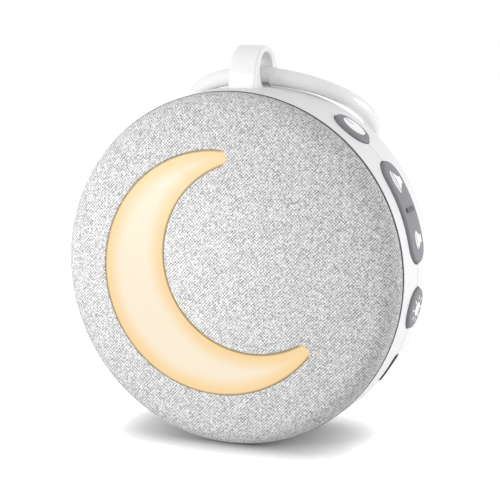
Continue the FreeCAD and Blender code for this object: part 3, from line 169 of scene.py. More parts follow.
def moonLoop(grow):
    # The crescent's border, grown by some width: outer arc, tip, inner arc, tip. Each tip's
    # centre lies outer minus tip from the one centre and bay plus tip from the other.
    outer = moon["outer"] + grow
    bay = moon["bay"] - grow
    tip = moon["tip"] + grow
    shift = moon["shift"]
    turn = math.radians(moon["turn"])
    centre = np.array(moon["centre"])
    bayCentre = centre + shift * np.array((math.cos(turn), math.sin(turn)))
    toTip = outer - tip
    spread = math.acos((toTip ** 2 + shift ** 2 - (bay + tip) ** 2) / (2 * toTip * shift))
    high = centre + toTip * np.array((math.cos(turn + spread), math.sin(turn + spread)))
    low = centre + toTip * np.array((math.cos(turn - spread), math.sin(turn - spread)))

    def heading(start, stop):
        return math.atan2(stop[1] - start[1], stop[0] - start[0])

    def arc(middle, radius, start, stop, direction):
        sweep = (direction * (stop - start)) % (2 * math.pi)
        count = max(4, round(sweep * radius / moon["step"]))
        angles = start + direction * sweep * np.arange(count) / count
        return middle + radius * np.stack([np.cos(angles), np.sin(angles)], 1)

    return np.concatenate([
        arc(centre, outer, heading(centre, high), heading(centre, low), 1),
        arc(low, tip, heading(centre, low), heading(low, bayCentre), 1),
        arc(bayCentre, bay, heading(bayCentre, low), heading(bayCentre, high), -1),
        arc(high, tip, heading(high, bayCentre), heading(centre, high), 1),
    ])


# The front's shape: a shallow dome and the arc that rounds its edge, which touch where the
# line through their two centres meets them

crownReach = front["crown"] - front["rounding"]
roundRadius = puck["edgeRadius"] - front["rounding"]
crownBack = puck["edgeY"] + math.sqrt(crownReach ** 2 - roundRadius ** 2)
tangentRadius = roundRadius * front["crown"] / crownReach
tangentSlope = math.asin(tangentRadius / front["crown"])


def placeOnDome(places):
    # y is the dome's centre less the root of crown squared minus distance from the axis squared
    away = np.hypot(places[:, 0], places[:, 1])
    y = crownBack - np.sqrt(front["crown"] ** 2 - away ** 2)
    return np.stack([places[:, 0], y, places[:, 1] + puck["height"]], 1)


def atRim(level, x, y, lean):
    # Places at a height over the puck's axis, at an angle above +X: x runs along the rim
    # towards the top of the puck and y to its back
    return np.stack([level * np.cos(lean) - x * np.sin(lean), y,
                     level * np.sin(lean) + x * np.cos(lean) + puck["height"]], 1)


# Shader sockets with arithmetic on them

def putValue(tree, socket, value):
    # A wire, a colour or a plain value
    if isinstance(value, Wire):
        tree.links.new(value.socket, socket)
    elif isinstance(value, tuple) and socket.type == "RGBA":
        socket.default_value = (*value, 1.0)
    else:
        socket.default_value = value


def addNode(tree, kind, output=0, settings=None, **inputs):
    # Settings come first. An input is named by its socket, with _ for a space, or by its
    # number after one _.
    node = tree.nodes.new(kind)
    for key, value in (settings or {}).items():
        setattr(node, key, value)
    for key, value in inputs.items():
        name = int(key[1:]) if key[0] == "_" else key.replace("_", " ")
        putValue(tree, node.inputs[name], value)
    return Wire(tree, node.outputs[output])


class Wire:
    def __init__(self, tree, socket):
        self.tree = tree
        self.socket = socket

    def maths(self, operation, other=0.0, turned=False):
        first, second = (other, self) if turned else (self, other)
        return addNode(self.tree, "ShaderNodeMath", settings={"operation": operation},
                       _0=first, _1=second)

    def __add__(self, other):
        return self.maths("ADD", other)

    def __sub__(self, other):
        return self.maths("SUBTRACT", other)

    def __rsub__(self, other):
        return self.maths("SUBTRACT", other, turned=True)

    def __mul__(self, other):
        return self.maths("MULTIPLY", other)

    __radd__ = __add__
    __rmul__ = __mul__

    def cosine(self):
        return self.maths("COSINE")

    def root(self):
        return self.maths("SQRT")

    def whole(self):
        return self.maths("FLOOR")

    def least(self, other):
        return self.maths("MINIMUM", other)

    def axes(self):
        # The three parts of a vector
        parts = addNode(self.tree, "ShaderNodeSeparateXYZ", Vector=self).socket.node.outputs
        return [Wire(self.tree, part) for part in parts]


class Finish:
    # A material round one Principled shader. Varying values come in as wires.
    def __init__(self, name, **surface):
        self.material = bpy.data.materials.new(name)
        self.material.use_nodes = True
        self.tree = self.material.node_tree
        self.shader = self.tree.nodes["Principled BSDF"]
        for socket, value in surface.items():
            self.put(socket.replace("_", " "), value)

    def put(self, socket, value):
        putValue(self.tree, self.shader.inputs[socket], value)

    def node(self, kind, output=0, settings=None, **inputs):
        return addNode(self.tree, kind, output, settings, **inputs)

    def place(self):
        # Object coordinates in millimetres
        whole = self.node("ShaderNodeTexCoord", "Object")
        return self.node("ShaderNodeVectorMath", settings={"operation": "SCALE"},
                         Vector=whole, Scale=1 / mm)

    def join(self, x, y, z=0.0):
        return self.node("ShaderNodeCombineXYZ", X=x, Y=y, Z=z)

    def noise(self, vector, scale, detail=2.0, roughness=0.5):
        return self.node("ShaderNodeTexNoise", "Fac",
                         Vector=vector, Scale=scale, Detail=detail, Roughness=roughness)

    def speckle(self, x, y):
        # One random value for each cell of a grid whose cells are 1 wide
        cell = self.join((x + 0.5).whole(), (y + 0.5).whole())
        return self.node("ShaderNodeTexWhiteNoise", "Value", Vector=cell)

    def ramp(self, value, low, high, start=0.0, stop=1.0, smooth=False):
        kind = "SMOOTHSTEP" if smooth else "LINEAR"
        return self.node("ShaderNodeMapRange", settings={"interpolation_type": kind},
                         _0=value, _1=low, _2=high, _3=start, _4=stop)

    def mix(self, factor, first, second):
        return self.node("ShaderNodeMix", 2, settings={"data_type": "RGBA"},
                         _0=factor, _6=first, _7=second)

    def bump(self, height, strength, distance):
        self.put("Normal", self.node("ShaderNodeBump", Height=height, Strength=strength,
                                     Distance=distance * mm))


def linear(red, green, blue):
    # A colour given as it looks on screen, from 0 to 255
    return tuple(c / 12.92 if c <= 0.04045 else ((c + 0.055) / 1.055) ** 2.4
                 for c in (red / 255, green / 255, blue / 255))


def dress(piece, material):
    piece.data.materials.clear()
    piece.data.materials.append(material)


# Finishes

cloth = {
    "pitch": 0.65,  # of the yarns
    "diagonal": 0.7071,  # sine of the yarns' 45 degrees
    "dark": linear(62, 62, 64),
    "light": linear(255, 255, 255),
    "darkest": 0.0,  # shades at which the two colours are reached
    "lightest": 0.96,
    "topYarns": 0.55,  # shares of the height
    "underYarns": 0.45,
    "weaveShade": 0.44,  # shares of the shade
    "crossingShade": 0.12,
    "fibreShade": 0.42,
    "cloudShade": 0.06,
    "wander": 0.5,
    "wanderScale": 0.3,
    "cloudScale": 0.16,
    "rough": 0.92,
    "sheen": 0.2,
    "sheenRough": 0.5,
    "bump": 0.6,
    "bumpDepth": 0.16,
}


def clothFinish():
    # A weave laid at 45 degrees. Yarns are cosines across and along it. One set of yarns
    # lies on top, so its grooves show most, and each crossing and each fibre in it has its
    # own shade of grey.
    finish = Finish("heatheredCloth", Roughness=cloth["rough"], Sheen_Weight=cloth["sheen"],
                    Sheen_Roughness=cloth["sheenRough"])
    place = finish.node("ShaderNodeAttribute", "Vector", settings={"attribute_name": "flatPlace"})
    x, z, _ = place.axes()
    wander = (finish.noise(place, cloth["wanderScale"]) - 0.5) * cloth["wander"]
    across = (x + z) * (cloth["diagonal"] / cloth["pitch"]) + wander
    along = (x - z) * (cloth["diagonal"] / cloth["pitch"]) - wander
    topYarns = (along * (2 * math.pi)).cosine() * 0.5 + 0.5
    underYarns = (across * (2 * math.pi)).cosine() * 0.5 + 0.5
    crossing = finish.speckle(across, along)
    fibre = finish.speckle(across * 2, along * 2)
    cloudy = finish.noise(place, cloth["cloudScale"], 3.0, 0.6)
    height = topYarns * cloth["topYarns"] + underYarns * cloth["underYarns"]
    shade = (height * cloth["weaveShade"] + crossing * cloth["crossingShade"]
             + fibre * cloth["fibreShade"] + (cloudy - 0.5) * cloth["cloudShade"])
    shade = finish.ramp(shade, cloth["darkest"], cloth["lightest"])
    finish.put("Base Color", finish.mix(shade, cloth["dark"], cloth["light"]))
    finish.bump(height * 0.8 + crossing * 0.2, cloth["bump"], cloth["bumpDepth"])
    return finish.material


glow = {
    # border: painted shadow, the olive line where the cloth's edge shades the lens
    "border": linear(168, 146, 98),
    "edge": linear(255, 220, 164),
    "centre": linear(255, 241, 216),
    "shadowLineStart": 0.1,  # depths in from the crescent's border
    "shadowLineWidth": 0.55,
    "edgeStart": 0.6,
    "reach": 6.0,
    "drift": 2.0,
    "driftScale": 0.05,
    "strength": 0.9,
    "unlit": (0.035, 0.03, 0.022),
    "specular": 0.2,
    "rough": (0.34, 0.42),
    "roughScale": 0.4,
}


def glowFinish():
    # A milky diffuser lit from behind: warmer and dimmer towards its border, with a thin
    # olive line of painted shadow at the border, where the cloth's edge shades it. The depth
    # in from the border is the lesser of the depths in from the crescent's two arcs.
    finish = Finish("glowingDiffuser", Base_Color=glow["unlit"],
                    Specular_IOR_Level=glow["specular"], Emission_Strength=glow["strength"])
    place = finish.place()
    x, _, z = place.axes()
    z = z - puck["height"]
    turn = math.radians(moon["turn"])
    bayX = moon["centre"][0] + moon["shift"] * math.cos(turn)
    bayZ = moon["centre"][1] + moon["shift"] * math.sin(turn)

    def distance(fromX, fromZ):
        dx = x - fromX
        dz = z - fromZ
        return (dx * dx + dz * dz).root()

    depth = (moon["outer"] - distance(*moon["centre"])).least(distance(bayX, bayZ) - moon["bay"])
    drift = (finish.noise(place, glow["driftScale"], 1.0) - 0.5) * glow["drift"]
    share = finish.ramp(depth + drift, glow["edgeStart"], glow["reach"], smooth=True)
    colour = finish.mix(share, glow["edge"], glow["centre"])
    # Painted shadow: the emission colour turns olive over the thin band next to the border
    inside = finish.ramp(depth, glow["shadowLineStart"], glow["shadowLineWidth"])
    finish.put("Emission Color", finish.mix(inside, glow["border"], colour))
    uneven = finish.noise(place, glow["roughScale"])
    finish.put("Roughness", finish.ramp(uneven, 0.3, 0.7, *glow["rough"]))
    return finish.material


moulded = {"coatRough": 0.12, "broad": 0.04, "darker": 0.965, "uneven": 0.04, "bump": 0.35}


def mouldedFinish(name, colour, rough, grain=0.03, grainScale=3.0, coat=0.0, specular=0.5):
    # Moulded plastic or rubber: fine texture, slightly uneven gloss and tint
    finish = Finish(name, Specular_IOR_Level=specular, Coat_Weight=coat,
                    Coat_Roughness=moulded["coatRough"])
    place = finish.place()
    broad = finish.noise(place, moulded["broad"])
    fine = finish.noise(place, grainScale, 3.0, 0.6)
    darker = tuple(c * moulded["darker"] for c in colour)
    finish.put("Base Color", finish.mix(finish.ramp(broad, 0.3, 0.7), darker, colour))
    finish.put("Roughness", finish.ramp(fine * 0.5 + broad * 0.5, 0.3, 0.7,
                                        rough - moulded["uneven"], rough + moulded["uneven"]))
    finish.bump(fine, moulded["bump"], grain)
    return finish.material


metal = {"darker": 0.8, "uneven": 0.07, "bump": 0.2, "bumpDepth": 0.01}


def metalFinish(name, colour, rough, stretch=(1.0, 1.0, 12.0)):
    # Drawn or pressed metal: fine streaks in its gloss, thin along the stretched axis
    finish = Finish(name, Metallic=1.0)
    x, y, z = finish.place().axes()
    streaks = finish.noise(finish.join(x * stretch[0], y * stretch[1], z * stretch[2]), 1.0, 3.0)
    darker = tuple(c * metal["darker"] for c in colour)
    finish.put("Base Color", finish.mix(streaks, darker, colour))
    finish.put("Roughness", finish.ramp(streaks, 0.3, 0.7, rough - metal["uneven"],
                                        rough + metal["uneven"]))
    finish.bump(streaks, metal["bump"], metal["bumpDepth"])
    return finish.material


finishes = {
    "white_body": mouldedFinish("satinWhiteShell", linear(236, 236, 237), 0.42, 0.012, 4.0),
    "white_eye": mouldedFinish("smoothWhiteEye", linear(242, 242, 243), 0.3, 0.006, 3.0, coat=0.2),
    "white_ring": mouldedFinish("polishedWhiteRing", linear(238, 238, 239), 0.22, 0.004, 2.0,
                                coat=0.5),
    "grey_cloth": clothFinish(),
    "grille_plastic": mouldedFinish("plainGrille", linear(205, 204, 201), 0.6, 0.03),
    "milky_lens": glowFinish(),
    "circuit_board": mouldedFinish("solderMask", linear(31, 90, 58), 0.35, 0.02, 1.2),
    "lamp_epoxy": mouldedFinish("lampEpoxy", linear(244, 230, 176), 0.25, 0.01, coat=0.4),
    "black_foam": mouldedFinish("closedFoam", linear(34, 34, 34), 0.95, 0.12, 2.0),
    "ferrite": mouldedFinish("sinteredFerrite", linear(42, 42, 44), 0.6, 0.05, 2.0),
    "black_rubber": mouldedFinish("butylRubber", linear(27, 27, 28), 0.7, 0.02),
    "paper_cone": mouldedFinish("paperPulp", linear(58, 58, 59), 0.9, 0.08, 1.5),
    "chip_resin": mouldedFinish("chipResin", linear(32, 33, 36), 0.55, 0.03, 5.0),
    "battery_wrap": mouldedFinish("batteryFilm", linear(110, 143, 168), 0.25, 0.03, 0.6,
                                  coat=0.3),
    "grey_rubber": mouldedFinish("softGreyRubber", linear(138, 138, 143), 0.66, 0.02, 5.0,
                                 specular=0.35),
    "inner_plastic": mouldedFinish("plainInnerPlastic", linear(220, 220, 218), 0.5),
    "foot_rubber": mouldedFinish("paleFootRubber", linear(196, 196, 194), 0.75, 0.03, 4.0,
                                 specular=0.3),
    "screw_steel": metalFinish("zincSteel", linear(150, 152, 156), 0.35),
    "speaker_steel": metalFinish("pressedSteel", linear(128, 130, 134), 0.4),
    "copper_coil": metalFinish("woundCopper", linear(176, 106, 60), 0.35, (1.0, 25.0, 1.0)),
    "capacitor_can": metalFinish("canAluminium", linear(185, 188, 192), 0.3),
    "port_metal": metalFinish("nickelSteel", linear(120, 122, 126), 0.35),
    "pin_steel": metalFinish("groundWire", linear(169, 171, 173), 0.25, (20.0, 1.0, 1.0)),
}
printed = mouldedFinish("whitePrint", linear(252, 252, 252), 0.5, 0.01)
# Painted shade: the dark grey of the ring that fills the gap behind the cloth's hem
hemShadowRing = mouldedFinish("paintedHemShadow", linear(74, 74, 76), 0.95, 0.1, 2.0)
darkMark = mouldedFinish("darkMark", linear(96, 96, 101), 0.7, 0.02)

for row in frame["record"]["subparts"]:
    dress(frame["nodes"][row["node"]], finishes[row["material_slot"]])
print("stage finishes:", len(finishes), "slots")


# Cloth: one layer stretched over the dome, rolled in round the window and behind the rim

cover = {
    "count": 420,  # points round the edge
    "spacing": 1.5,
    "thickness": 0.35,
    "windowGap": 0.12,
    "windowRoll": 0.35,  # radius that rolls in at the window
    "windowDepth": 1.5,
    "edgeSteps": 14,
    "hemInner": 47.3,
    "hemSteps": 3,
}


def edgeProfile():
    # Radius and y along the rounded edge and the hem, and how far each lies from the middle
    # on the flat sheet. The edge is an arc: radius is the arc's centre plus rounding times
    # the sine of the lean, and y is the edge's back less rounding times its cosine.
    rounding = front["rounding"]
    hemAngle = math.pi / 2 - math.asin(puck["coverGap"] / rounding)
    lean = np.linspace(tangentSlope, hemAngle, cover["edgeSteps"] + 1)[1:]
    radius = roundRadius + rounding * np.sin(lean)
    y = puck["edgeY"] - rounding * np.cos(lean)
    reach = front["crown"] * tangentSlope + rounding * (lean - tangentSlope)
    hem = np.linspace(radius[-1], cover["hemInner"], cover["hemSteps"] + 1)[1:]
    return (np.concatenate([radius, hem]), np.concatenate([y, np.full(len(hem), y[-1])]),
            np.concatenate([reach, reach[-1] + radius[-1] - hem]))


def makeCloth():
    outerLoop = circleLoop(tangentRadius, cover["count"])
    window = moonLoop(cover["windowGap"] + cover["windowRoll"])
    flat, triangles = fillLoops([outerLoop, window], cover["spacing"])
    sheets = [placeOnDome(flat)]
    flatPlaces = [flat]
    faces = [triangles]

    def addRow(row, places, previous, winding):
        # One more closed row of points, joined to the previous row with squares
        start = sum(len(sheet) for sheet in sheets)
        numbers = np.arange(len(row))
        sheets.append(row)
        flatPlaces.append(places)
        faces.append(squares(previous + numbers, start + numbers)[:, winding])
        return start

    previous = 0
    for radius, y, reach in zip(*edgeProfile()):
        circle = circleLoop(radius, cover["count"])
        row = np.stack([circle[:, 0], np.full(len(circle), y), circle[:, 1] + puck["height"]], 1)
        previous = addRow(row, circleLoop(reach, cover["count"]), previous, [0, 3, 2, 1])

    # The window's edge rolls in through a quarter turn and then runs straight down
    bend = np.radians([22.5, 45, 67.5, 90, 90])
    inward = cover["windowRoll"] * (1 - np.sin(bend))
    straight = np.array([0, 0, 0, 0, 1])
    drop = cover["windowRoll"] * (1 - np.cos(bend)) + cover["windowDepth"] * straight
    previous = cover["count"]
    for narrower, deeper in zip(inward, drop):
        places = moonLoop(cover["windowGap"] + narrower)
        if len(places) != len(window):
            places = resample(places, window)
        row = placeOnDome(places) + (0, deeper, 0)
        previous = addRow(row, places, previous, [1, 2, 3, 0])

    piece = meshPiece("stretchedCloth", np.concatenate(sheets), faces)
    flatPlaces = np.concatenate(flatPlaces)
    flatPlaces = np.column_stack([flatPlaces, np.zeros(len(flatPlaces))])
    attribute = piece.data.attributes.new("flatPlace", "FLOAT_VECTOR", "POINT")
    attribute.data.foreach_set("vector", flatPlaces.astype(np.float32).ravel())
    solid = piece.modifiers.new("thickness", "SOLIDIFY")
    solid.thickness = cover["thickness"] * mm
    solid.offset = -1
    dress(piece, finishes["grey_cloth"])
    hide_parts("fabric_cover")
    windowArea = polygonArea(moonLoop(-cover["windowDepth"]))
    area = math.pi * reach ** 2 - windowArea
    area * mm * mm


makeCloth()


# Dark parts that show only as lines: a dark ring of painted shade in the gap behind the cloth's
# hem, and a dark sleeve in the port's slot

hemShadow = {"outer": 49.5, "inner": 47.6, "gap": 0.04, "around": 240}


def turnedRing(name, profile, count):
    # A closed outline of (radius, y) places turned about the puck's axis: x is radius times
    # cosine and z is radius times sine
    angles = evenAngles(count)
    radius, y = np.array(profile).T
    x = np.outer(np.cos(angles), radius)
    z = np.outer(np.sin(angles), radius) + puck["height"]
    points = np.stack([x, np.broadcast_to(y, x.shape), z], 2).reshape(-1, 3)
    return meshPiece(name, points, [gridFaces(count, len(profile), closed=True)], smooth=False)


def makeHemShadow():
    # A square ring that fills the gap behind the hem with a dark colour: painted shade, where the
    # gap is only in shadow
    back = puck["edgeY"] - hemShadow["gap"]
    ahead = puck["edgeY"] - puck["coverGap"] + hemShadow["gap"]
    outline = [(hemShadow["inner"], back), (hemShadow["outer"], back),
               (hemShadow["outer"], ahead), (hemShadow["inner"], ahead)]
    ring = turnedRing("hemShadowRing", outline, hemShadow["around"])
    dress(ring, hemShadowRing)


portDarkSleeve = {
    "angle": -32.0,  # of the port above +X
    "halfWidth": 4.68,
    "halfHeight": 1.81,
    "wall": 0.45,
    "top": 50.0,  # heights over the puck's axis
    "bottom": 46.45,
    "ends": 14,
}


def makePortDarkSleeve():
    # A thin dark sleeve that lines the port's slot: each outline is two half circles, set
    # apart by the flat length between them
    def outline(inset, level):
        radius = portDarkSleeve["halfHeight"] - inset
        flat = portDarkSleeve["halfWidth"] - portDarkSleeve["halfHeight"]
        bend = np.radians(np.linspace(-90, 90, portDarkSleeve["ends"]))
        x = np.concatenate([flat + radius * np.cos(bend), -flat - radius * np.cos(bend)])
        y = np.concatenate([radius * np.sin(bend), -radius * np.sin(bend)])
        return atRim(level, x, y, math.radians(portDarkSleeve["angle"]))

    wall, top, bottom = portDarkSleeve["wall"], portDarkSleeve["top"], portDarkSleeve["bottom"]
    loops = [outline(0, top), outline(wall, top), outline(wall, bottom), outline(0, bottom)]
    faces = gridFaces(len(loops), len(loops[0]), closed=True)
    sleeve = meshPiece("portDarkSleeve", np.concatenate(loops), [faces], smooth=False)
    dress(sleeve, finishes["chip_resin"])


makeHemShadow()
makePortDarkSleeve()
print("stage dark lines: felt ring and port frame")


# Hanging ring: one tube from one side of the eye to the other, thicker beside the eye

ringBow = {
    "radius": 26.6,
    "hinge": (6.6, 102.4),  # y and z
    "slope": 29.0,  # of the ring's plane, falling to the back
    "drop": 0.3,
    "end": 4.3,  # from the puck's middle plane to each end
    "thick": 2.5,
    "thin": 2.35,
    "thickReach": 28.0,  # degrees over which the tube grows thin
    "rounding": 0.3,
    "around": 40,
    "along": 200,
}


def makeRing():
    # A tube round a circle in the sloping plane. A point is the circle's centre, plus its
    # radius along the side's direction, plus the tube's radius times the cosine of the sweep
    # along the side and its sine upwards. The ends are rounded in four steps.
    slope = math.radians(ringBow["slope"])
    sideways = np.array((1, 0, 0))
    outwards = np.array((0, math.cos(slope), -math.sin(slope)))
    upwards = np.array((0, math.sin(slope), math.cos(slope)))
    hinge = np.array((0, *ringBow["hinge"]))
    centre = hinge + ringBow["radius"] * outwards - ringBow["drop"] * upwards
    half = math.asin(ringBow["end"] / ringBow["radius"])
    turns = np.linspace(half, 2 * math.pi - half, ringBow["along"])
    bend = np.radians([90, 60, 30, 0])
    inset = ringBow["rounding"] * (1 - np.cos(bend))
    shift = ringBow["rounding"] * (1 - np.sin(bend))
    plain = np.zeros(len(turns) - 4)
    turn = np.concatenate([np.repeat(turns[0], 4), turns[2:-2], np.repeat(turns[-1], 4)])[:, None]
    inset = np.concatenate([inset, plain, inset[::-1]])[:, None]
    shift = np.concatenate([shift, plain, -shift[::-1]])[:, None]

    away = np.degrees(np.minimum(turn - half, 2 * math.pi - half - turn))
    share = np.minimum(1, away / ringBow["thickReach"])
    share = share * share * (3 - 2 * share)
    radius = ringBow["thick"] + (ringBow["thin"] - ringBow["thick"]) * share - inset
    side = np.sin(turn) * sideways - np.cos(turn) * outwards
    ahead = np.cos(turn) * sideways + np.sin(turn) * outwards
    middle = centre + ringBow["radius"] * side + shift * ahead
    sweep = evenAngles(ringBow["around"])[:, None]
    section = np.cos(sweep) * side[:, None] + np.sin(sweep) * upwards
    points = middle[:, None] + radius[:, None] * section

    rows, columns = points.shape[:2]
    first = np.arange(columns)
    ends = [first[None, ::-1], first[None] + (rows - 1) * columns]
    piece = meshPiece("bowRing", points.reshape(-1, 3), [gridFaces(rows, columns), *ends], "ring")
    dress(piece, finishes["white_ring"])
    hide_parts("hanging_ring")
    print(f"stage ring: {len(piece.data.polygons)} faces")


makeRing()


# Signs printed on the buttons: thin patches that follow a cap's dome. Their own x runs
# round the rim towards the top of the puck and their y runs to the back.

cap = {
    "radius": 5.7,
    "top": 50.9,  # height over the puck's axis
    "dome": 0.35,
    "thickness": 0.05,  # of a sign, to each side of its place
    "spacing": 0.5,
    "boxStep": 0.6,
}
capSphere = (cap["radius"] ** 2 + cap["dome"] ** 2) / (2 * cap["dome"])


def capHeight(x, y, longCap):
    # Height of a cap's top over the puck's axis: its top less the sphere's radius, plus the
    # root of that radius squared minus the distance squared. A long cap keeps it along the rim.
    away = np.abs(y) if longCap else np.hypot(x, y)
    return cap["top"] - capSphere + np.sqrt(capSphere ** 2 - away ** 2)


def makeSign(name, body, angle, loops, longCap=False, lift=0.02, material=printed):
    # Two layers of the filled loops at the cap's height, with walls between them. On a long
    # cap they bend round the rim, and on a round one they lie across it.
    flat, triangles = fillLoops(loops, cap["spacing"])
    x, y = flat.T
    count = len(flat)
    layers = []
    for height in (lift + cap["thickness"], lift - cap["thickness"]):
        level = capHeight(x, y, longCap) + height
        if longCap:
            layers.append(atRim(level, 0, y, math.radians(angle) + x / cap["top"]))
        else:
            layers.append(atRim(level, x, y, math.radians(angle)))
    faces = [triangles, (triangles + count)[:, ::-1]]
    first = 0
    for loop in loops:
        numbers = first + np.arange(len(loop))
        faces.append(squares(numbers, numbers + count))
        first += len(loop)
    piece = meshPiece(name, np.concatenate(layers), faces, body, smooth=False)
    piece.data.flip_normals()
    dress(piece, material)


def boxLoop(x0, y0, x1, y1):
    # Even steps from each corner to the next
    corners = np.array([(x0, y0), (x1, y0), (x1, y1), (x0, y1)])
    sides = np.roll(corners, -1, axis=0) - corners
    counts = np.maximum(1, np.round(np.hypot(*sides.T) / cap["boxStep"])).astype(int)
    return np.concatenate([corner + side * np.arange(count)[:, None] / count
                           for corner, side, count in zip(corners, sides, counts)])


def discWithSlot(radius, slotHalf, slotEnd):
    # A disc with a thin straight slot that runs in from its top edge
    gap = math.asin(slotHalf / radius)
    angles = np.linspace(gap, 2 * math.pi - gap, 64)
    rim = np.stack([radius * np.cos(angles), radius * np.sin(angles)], 1)
    return np.concatenate([rim, [(slotEnd, -slotHalf), (slotEnd, slotHalf)]])


def sunLoops(core, inner, outer, rays, rayHalf):
    # A disc, and a thin box along each ray's direction
    loops = [circleLoop(core, 40)]
    for angle in evenAngles(rays):
        along = np.array((math.cos(angle), math.sin(angle)))
        aside = rayHalf * np.array((-along[1], along[0]))
        loops.append(np.array([along * inner - aside, along * outer - aside,
                               along * outer + aside, along * inner + aside]))
    return loops


def arcBand(centre, radius, half, width, count=12):
    # A short band bent round a centre, on its side towards negative y
    angles = np.radians(np.linspace(-90 - half, -90 + half, count))
    way = np.stack([np.cos(angles), np.sin(angles)], 1)
    outer = way * (radius + width / 2) + centre
    inner = way * (radius - width / 2) + centre
    return np.concatenate([outer, inner[::-1]])


loudspeaker = {
    "horn": [(-2.8, -1.1), (2.8, -1.1), (1.05, 1.2), (1.05, 2.8), (-1.05, 2.8), (-1.05, 1.2)],
    "waveCentre": (0, 1.4),
    "firstWave": 3.45,
    "waveStep": 1.15,
    "waveHalf": 44,  # degrees
    "waveWidth": 0.75,
}


def speakerLoops(waves):
    # A small loudspeaker facing the front, with one or two waves before it
    loops = [np.array(loudspeaker["horn"])]
    for k in range(waves):
        radius = loudspeaker["firstWave"] + loudspeaker["waveStep"] * k
        loops.append(arcBand(loudspeaker["waveCentre"], radius, loudspeaker["waveHalf"],
                             loudspeaker["waveWidth"]))
    return loops


timer = {"radius": 3.6, "slotHalf": 0.2, "slotEnd": 0.5}
sun = {"core": 1.95, "inner": 2.6, "outer": 3.8, "rays": 8, "rayHalf": 0.27}
signs = {
    "timerSign": {"body": "power_button", "angle": 52.0, "loops": [discWithSlot(**timer)]},
    "sunSign": {"body": "light_button", "angle": -10.4, "loops": sunLoops(**sun)},
    "louderSign": {"body": "volume_rocker", "angle": 30.4, "loops": speakerLoops(2),
                   "longCap": True},
    "softerSign": {"body": "volume_rocker", "angle": 11.4, "loops": speakerLoops(1),
                   "longCap": True},
    "rockerMark": {"body": "volume_rocker", "angle": 20.9,
                   "loops": [boxLoop(-0.6, -3.5, 0.6, 2.3)], "longCap": True, "lift": 0.3,
                   "material": darkMark},
    "timerHand": {"body": "power_button", "angle": 52.0,
                  "loops": [boxLoop(0.5, -0.19, 3.55, 0.19)], "lift": 0.01,
                  "material": darkMark},
}
for name, sign in signs.items():
    makeSign(name, **sign)
print("stage signs:", len(signs))


# Floor, lights, background and camera

stage = {
    "floor": 3000.0,
    "floorColour": (0.7, 0.7, 0.7),  # the light that the floor sends back up
    "floorDarker": 0.99,
    "floorScale": 0.004,
    "floorRough": 0.6,
    "floorWhite": 1.55,  # as the camera sees it, in the open and under the object
    "floorShade": 0.6,
    "shadeReach": 13.0,
    "shadeSamples": 12,
    "sky": 0.73,
    "skyFront": 0.2,
    "skyTop": 0.03,
    "backdrop": 1.0,
}
view = {
    "position": (160.2, -400.8, 130.6),
    "target": (0.0, -11.6, 49.6),
    "lens": 111.3,
    "sensor": 36.0,
    "shift": (0.0367, 0.0400),
    "clipStart": 0.01,
}
# The key panel stands close to the left, so its light falls off over the cloth, and the
# side panel lights the band and the ring from the right and a little from behind
panels = {
    "keyPanel": {"position": (-112.0, -178.0, 80.0), "aim": (-10.0, -15.0, 49.0),
                 "size": 70, "spread": 52, "power": 0.032},
    "sidePanel": {"position": (245.0, 130.0, 75.0), "aim": (20.0, 5.0, 55.0),
                  "size": 110, "spread": 120, "power": 0.122},
}


def seenRays(tree):
    # 1 for rays from the camera and for those mirrored or let through, 0 for light
    outputs = addNode(tree, "ShaderNodeLightPath").socket.node.outputs
    camera, glossy, through = (Wire(tree, outputs[f"Is {kind} Ray"])
                               for kind in ("Camera", "Glossy", "Transmission"))
    return (camera + glossy + through).least(1.0)


def aimAt(thing, position, target):
    thing.location = Vector(position) * mm
    aim = Vector(target) * mm - thing.location
    thing.rotation_euler = aim.to_track_quat("-Z", "Y").to_euler()
    bpy.context.scene.collection.objects.link(thing)


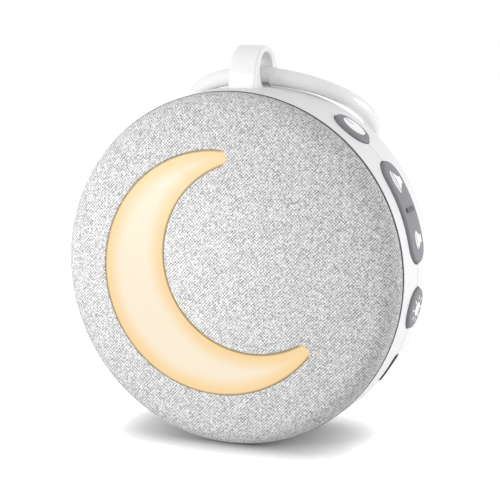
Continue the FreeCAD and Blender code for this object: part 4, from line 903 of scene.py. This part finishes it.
def makeFloor():
    # The camera sees a floor whose shade is the square of its openness, and light meets a
    # plain pale one
    half = stage["floor"] / 2 * mm
    mesh = bpy.data.meshes.new("floor")
    mesh.from_pydata([(-half, -half, 0), (half, -half, 0), (half, half, 0), (-half, half, 0)],
                     [], [(0, 1, 2, 3)])
    floor = bpy.data.objects.new("floor", mesh)
    bpy.context.scene.collection.objects.link(floor)
    finish = Finish("paleFloor", Roughness=stage["floorRough"])
    darker = tuple(c * stage["floorDarker"] for c in stage["floorColour"])
    tint = finish.noise(finish.place(), stage["floorScale"])
    finish.put("Base Color", finish.mix(tint, darker, stage["floorColour"]))
    openness = finish.node("ShaderNodeAmbientOcclusion", "AO",
                           settings={"samples": stage["shadeSamples"]},
                           Distance=stage["shadeReach"] * mm)
    shaded, white = (finish.node("ShaderNodeBsdfDiffuse", Color=(stage[key],) * 3)
                     for key in ("floorShade", "floorWhite"))
    seen = finish.node("ShaderNodeMixShader", _0=openness * openness, _1=shaded, _2=white)
    blend = finish.node("ShaderNodeMixShader", _0=seenRays(finish.tree),
                        _1=Wire(finish.tree, finish.shader.outputs[0]), _2=seen)
    putValue(finish.tree, finish.tree.nodes["Material Output"].inputs["Surface"], blend)
    dress(floor, finish.material)


def makeLamps():
    for name, panel in panels.items():
        data = bpy.data.lights.new(name, "AREA")
        data.shape = "SQUARE"
        data.size = panel["size"] * mm
        data.spread = math.radians(panel["spread"])
        data.energy = panel["power"]
        lamp = bpy.data.objects.new(name, data)
        lamp.visible_camera = False
        aimAt(lamp, panel["position"], panel["aim"])


def makeWorld():
    # The sky is a little brighter in front of the object and overhead
    world = bpy.data.worlds.new("paleWorld")
    bpy.context.scene.world = world
    world.use_nodes = True
    tree = world.node_tree
    tree.nodes.clear()
    _, back, up = addNode(tree, "ShaderNodeTexCoord", "Generated").axes()
    strength = stage["sky"] - back * stage["skyFront"] + up * stage["skyTop"]
    sky, backdrop = (addNode(tree, "ShaderNodeBackground", Color=(1.0, 1.0, 1.0), Strength=light)
                     for light in (strength, stage["backdrop"]))
    blend = addNode(tree, "ShaderNodeMixShader", _0=seenRays(tree), _1=sky, _2=backdrop)
    putValue(tree, tree.nodes.new("ShaderNodeOutputWorld").inputs["Surface"], blend)


def makeCamera():
    data = bpy.data.cameras.new("photoCamera")
    data.lens = view["lens"]
    data.sensor_width = view["sensor"]
    data.shift_x, data.shift_y = view["shift"]
    data.clip_start = view["clipStart"]
    camera = bpy.data.objects.new("photoCamera", data)
    aimAt(camera, view["position"], view["target"])
    bpy.context.scene.camera = camera


makeFloor()
makeLamps()
makeWorld()
makeCamera()
bpy.context.scene.view_settings.view_transform = "Standard"
print("stage set: floor, lights, camera")
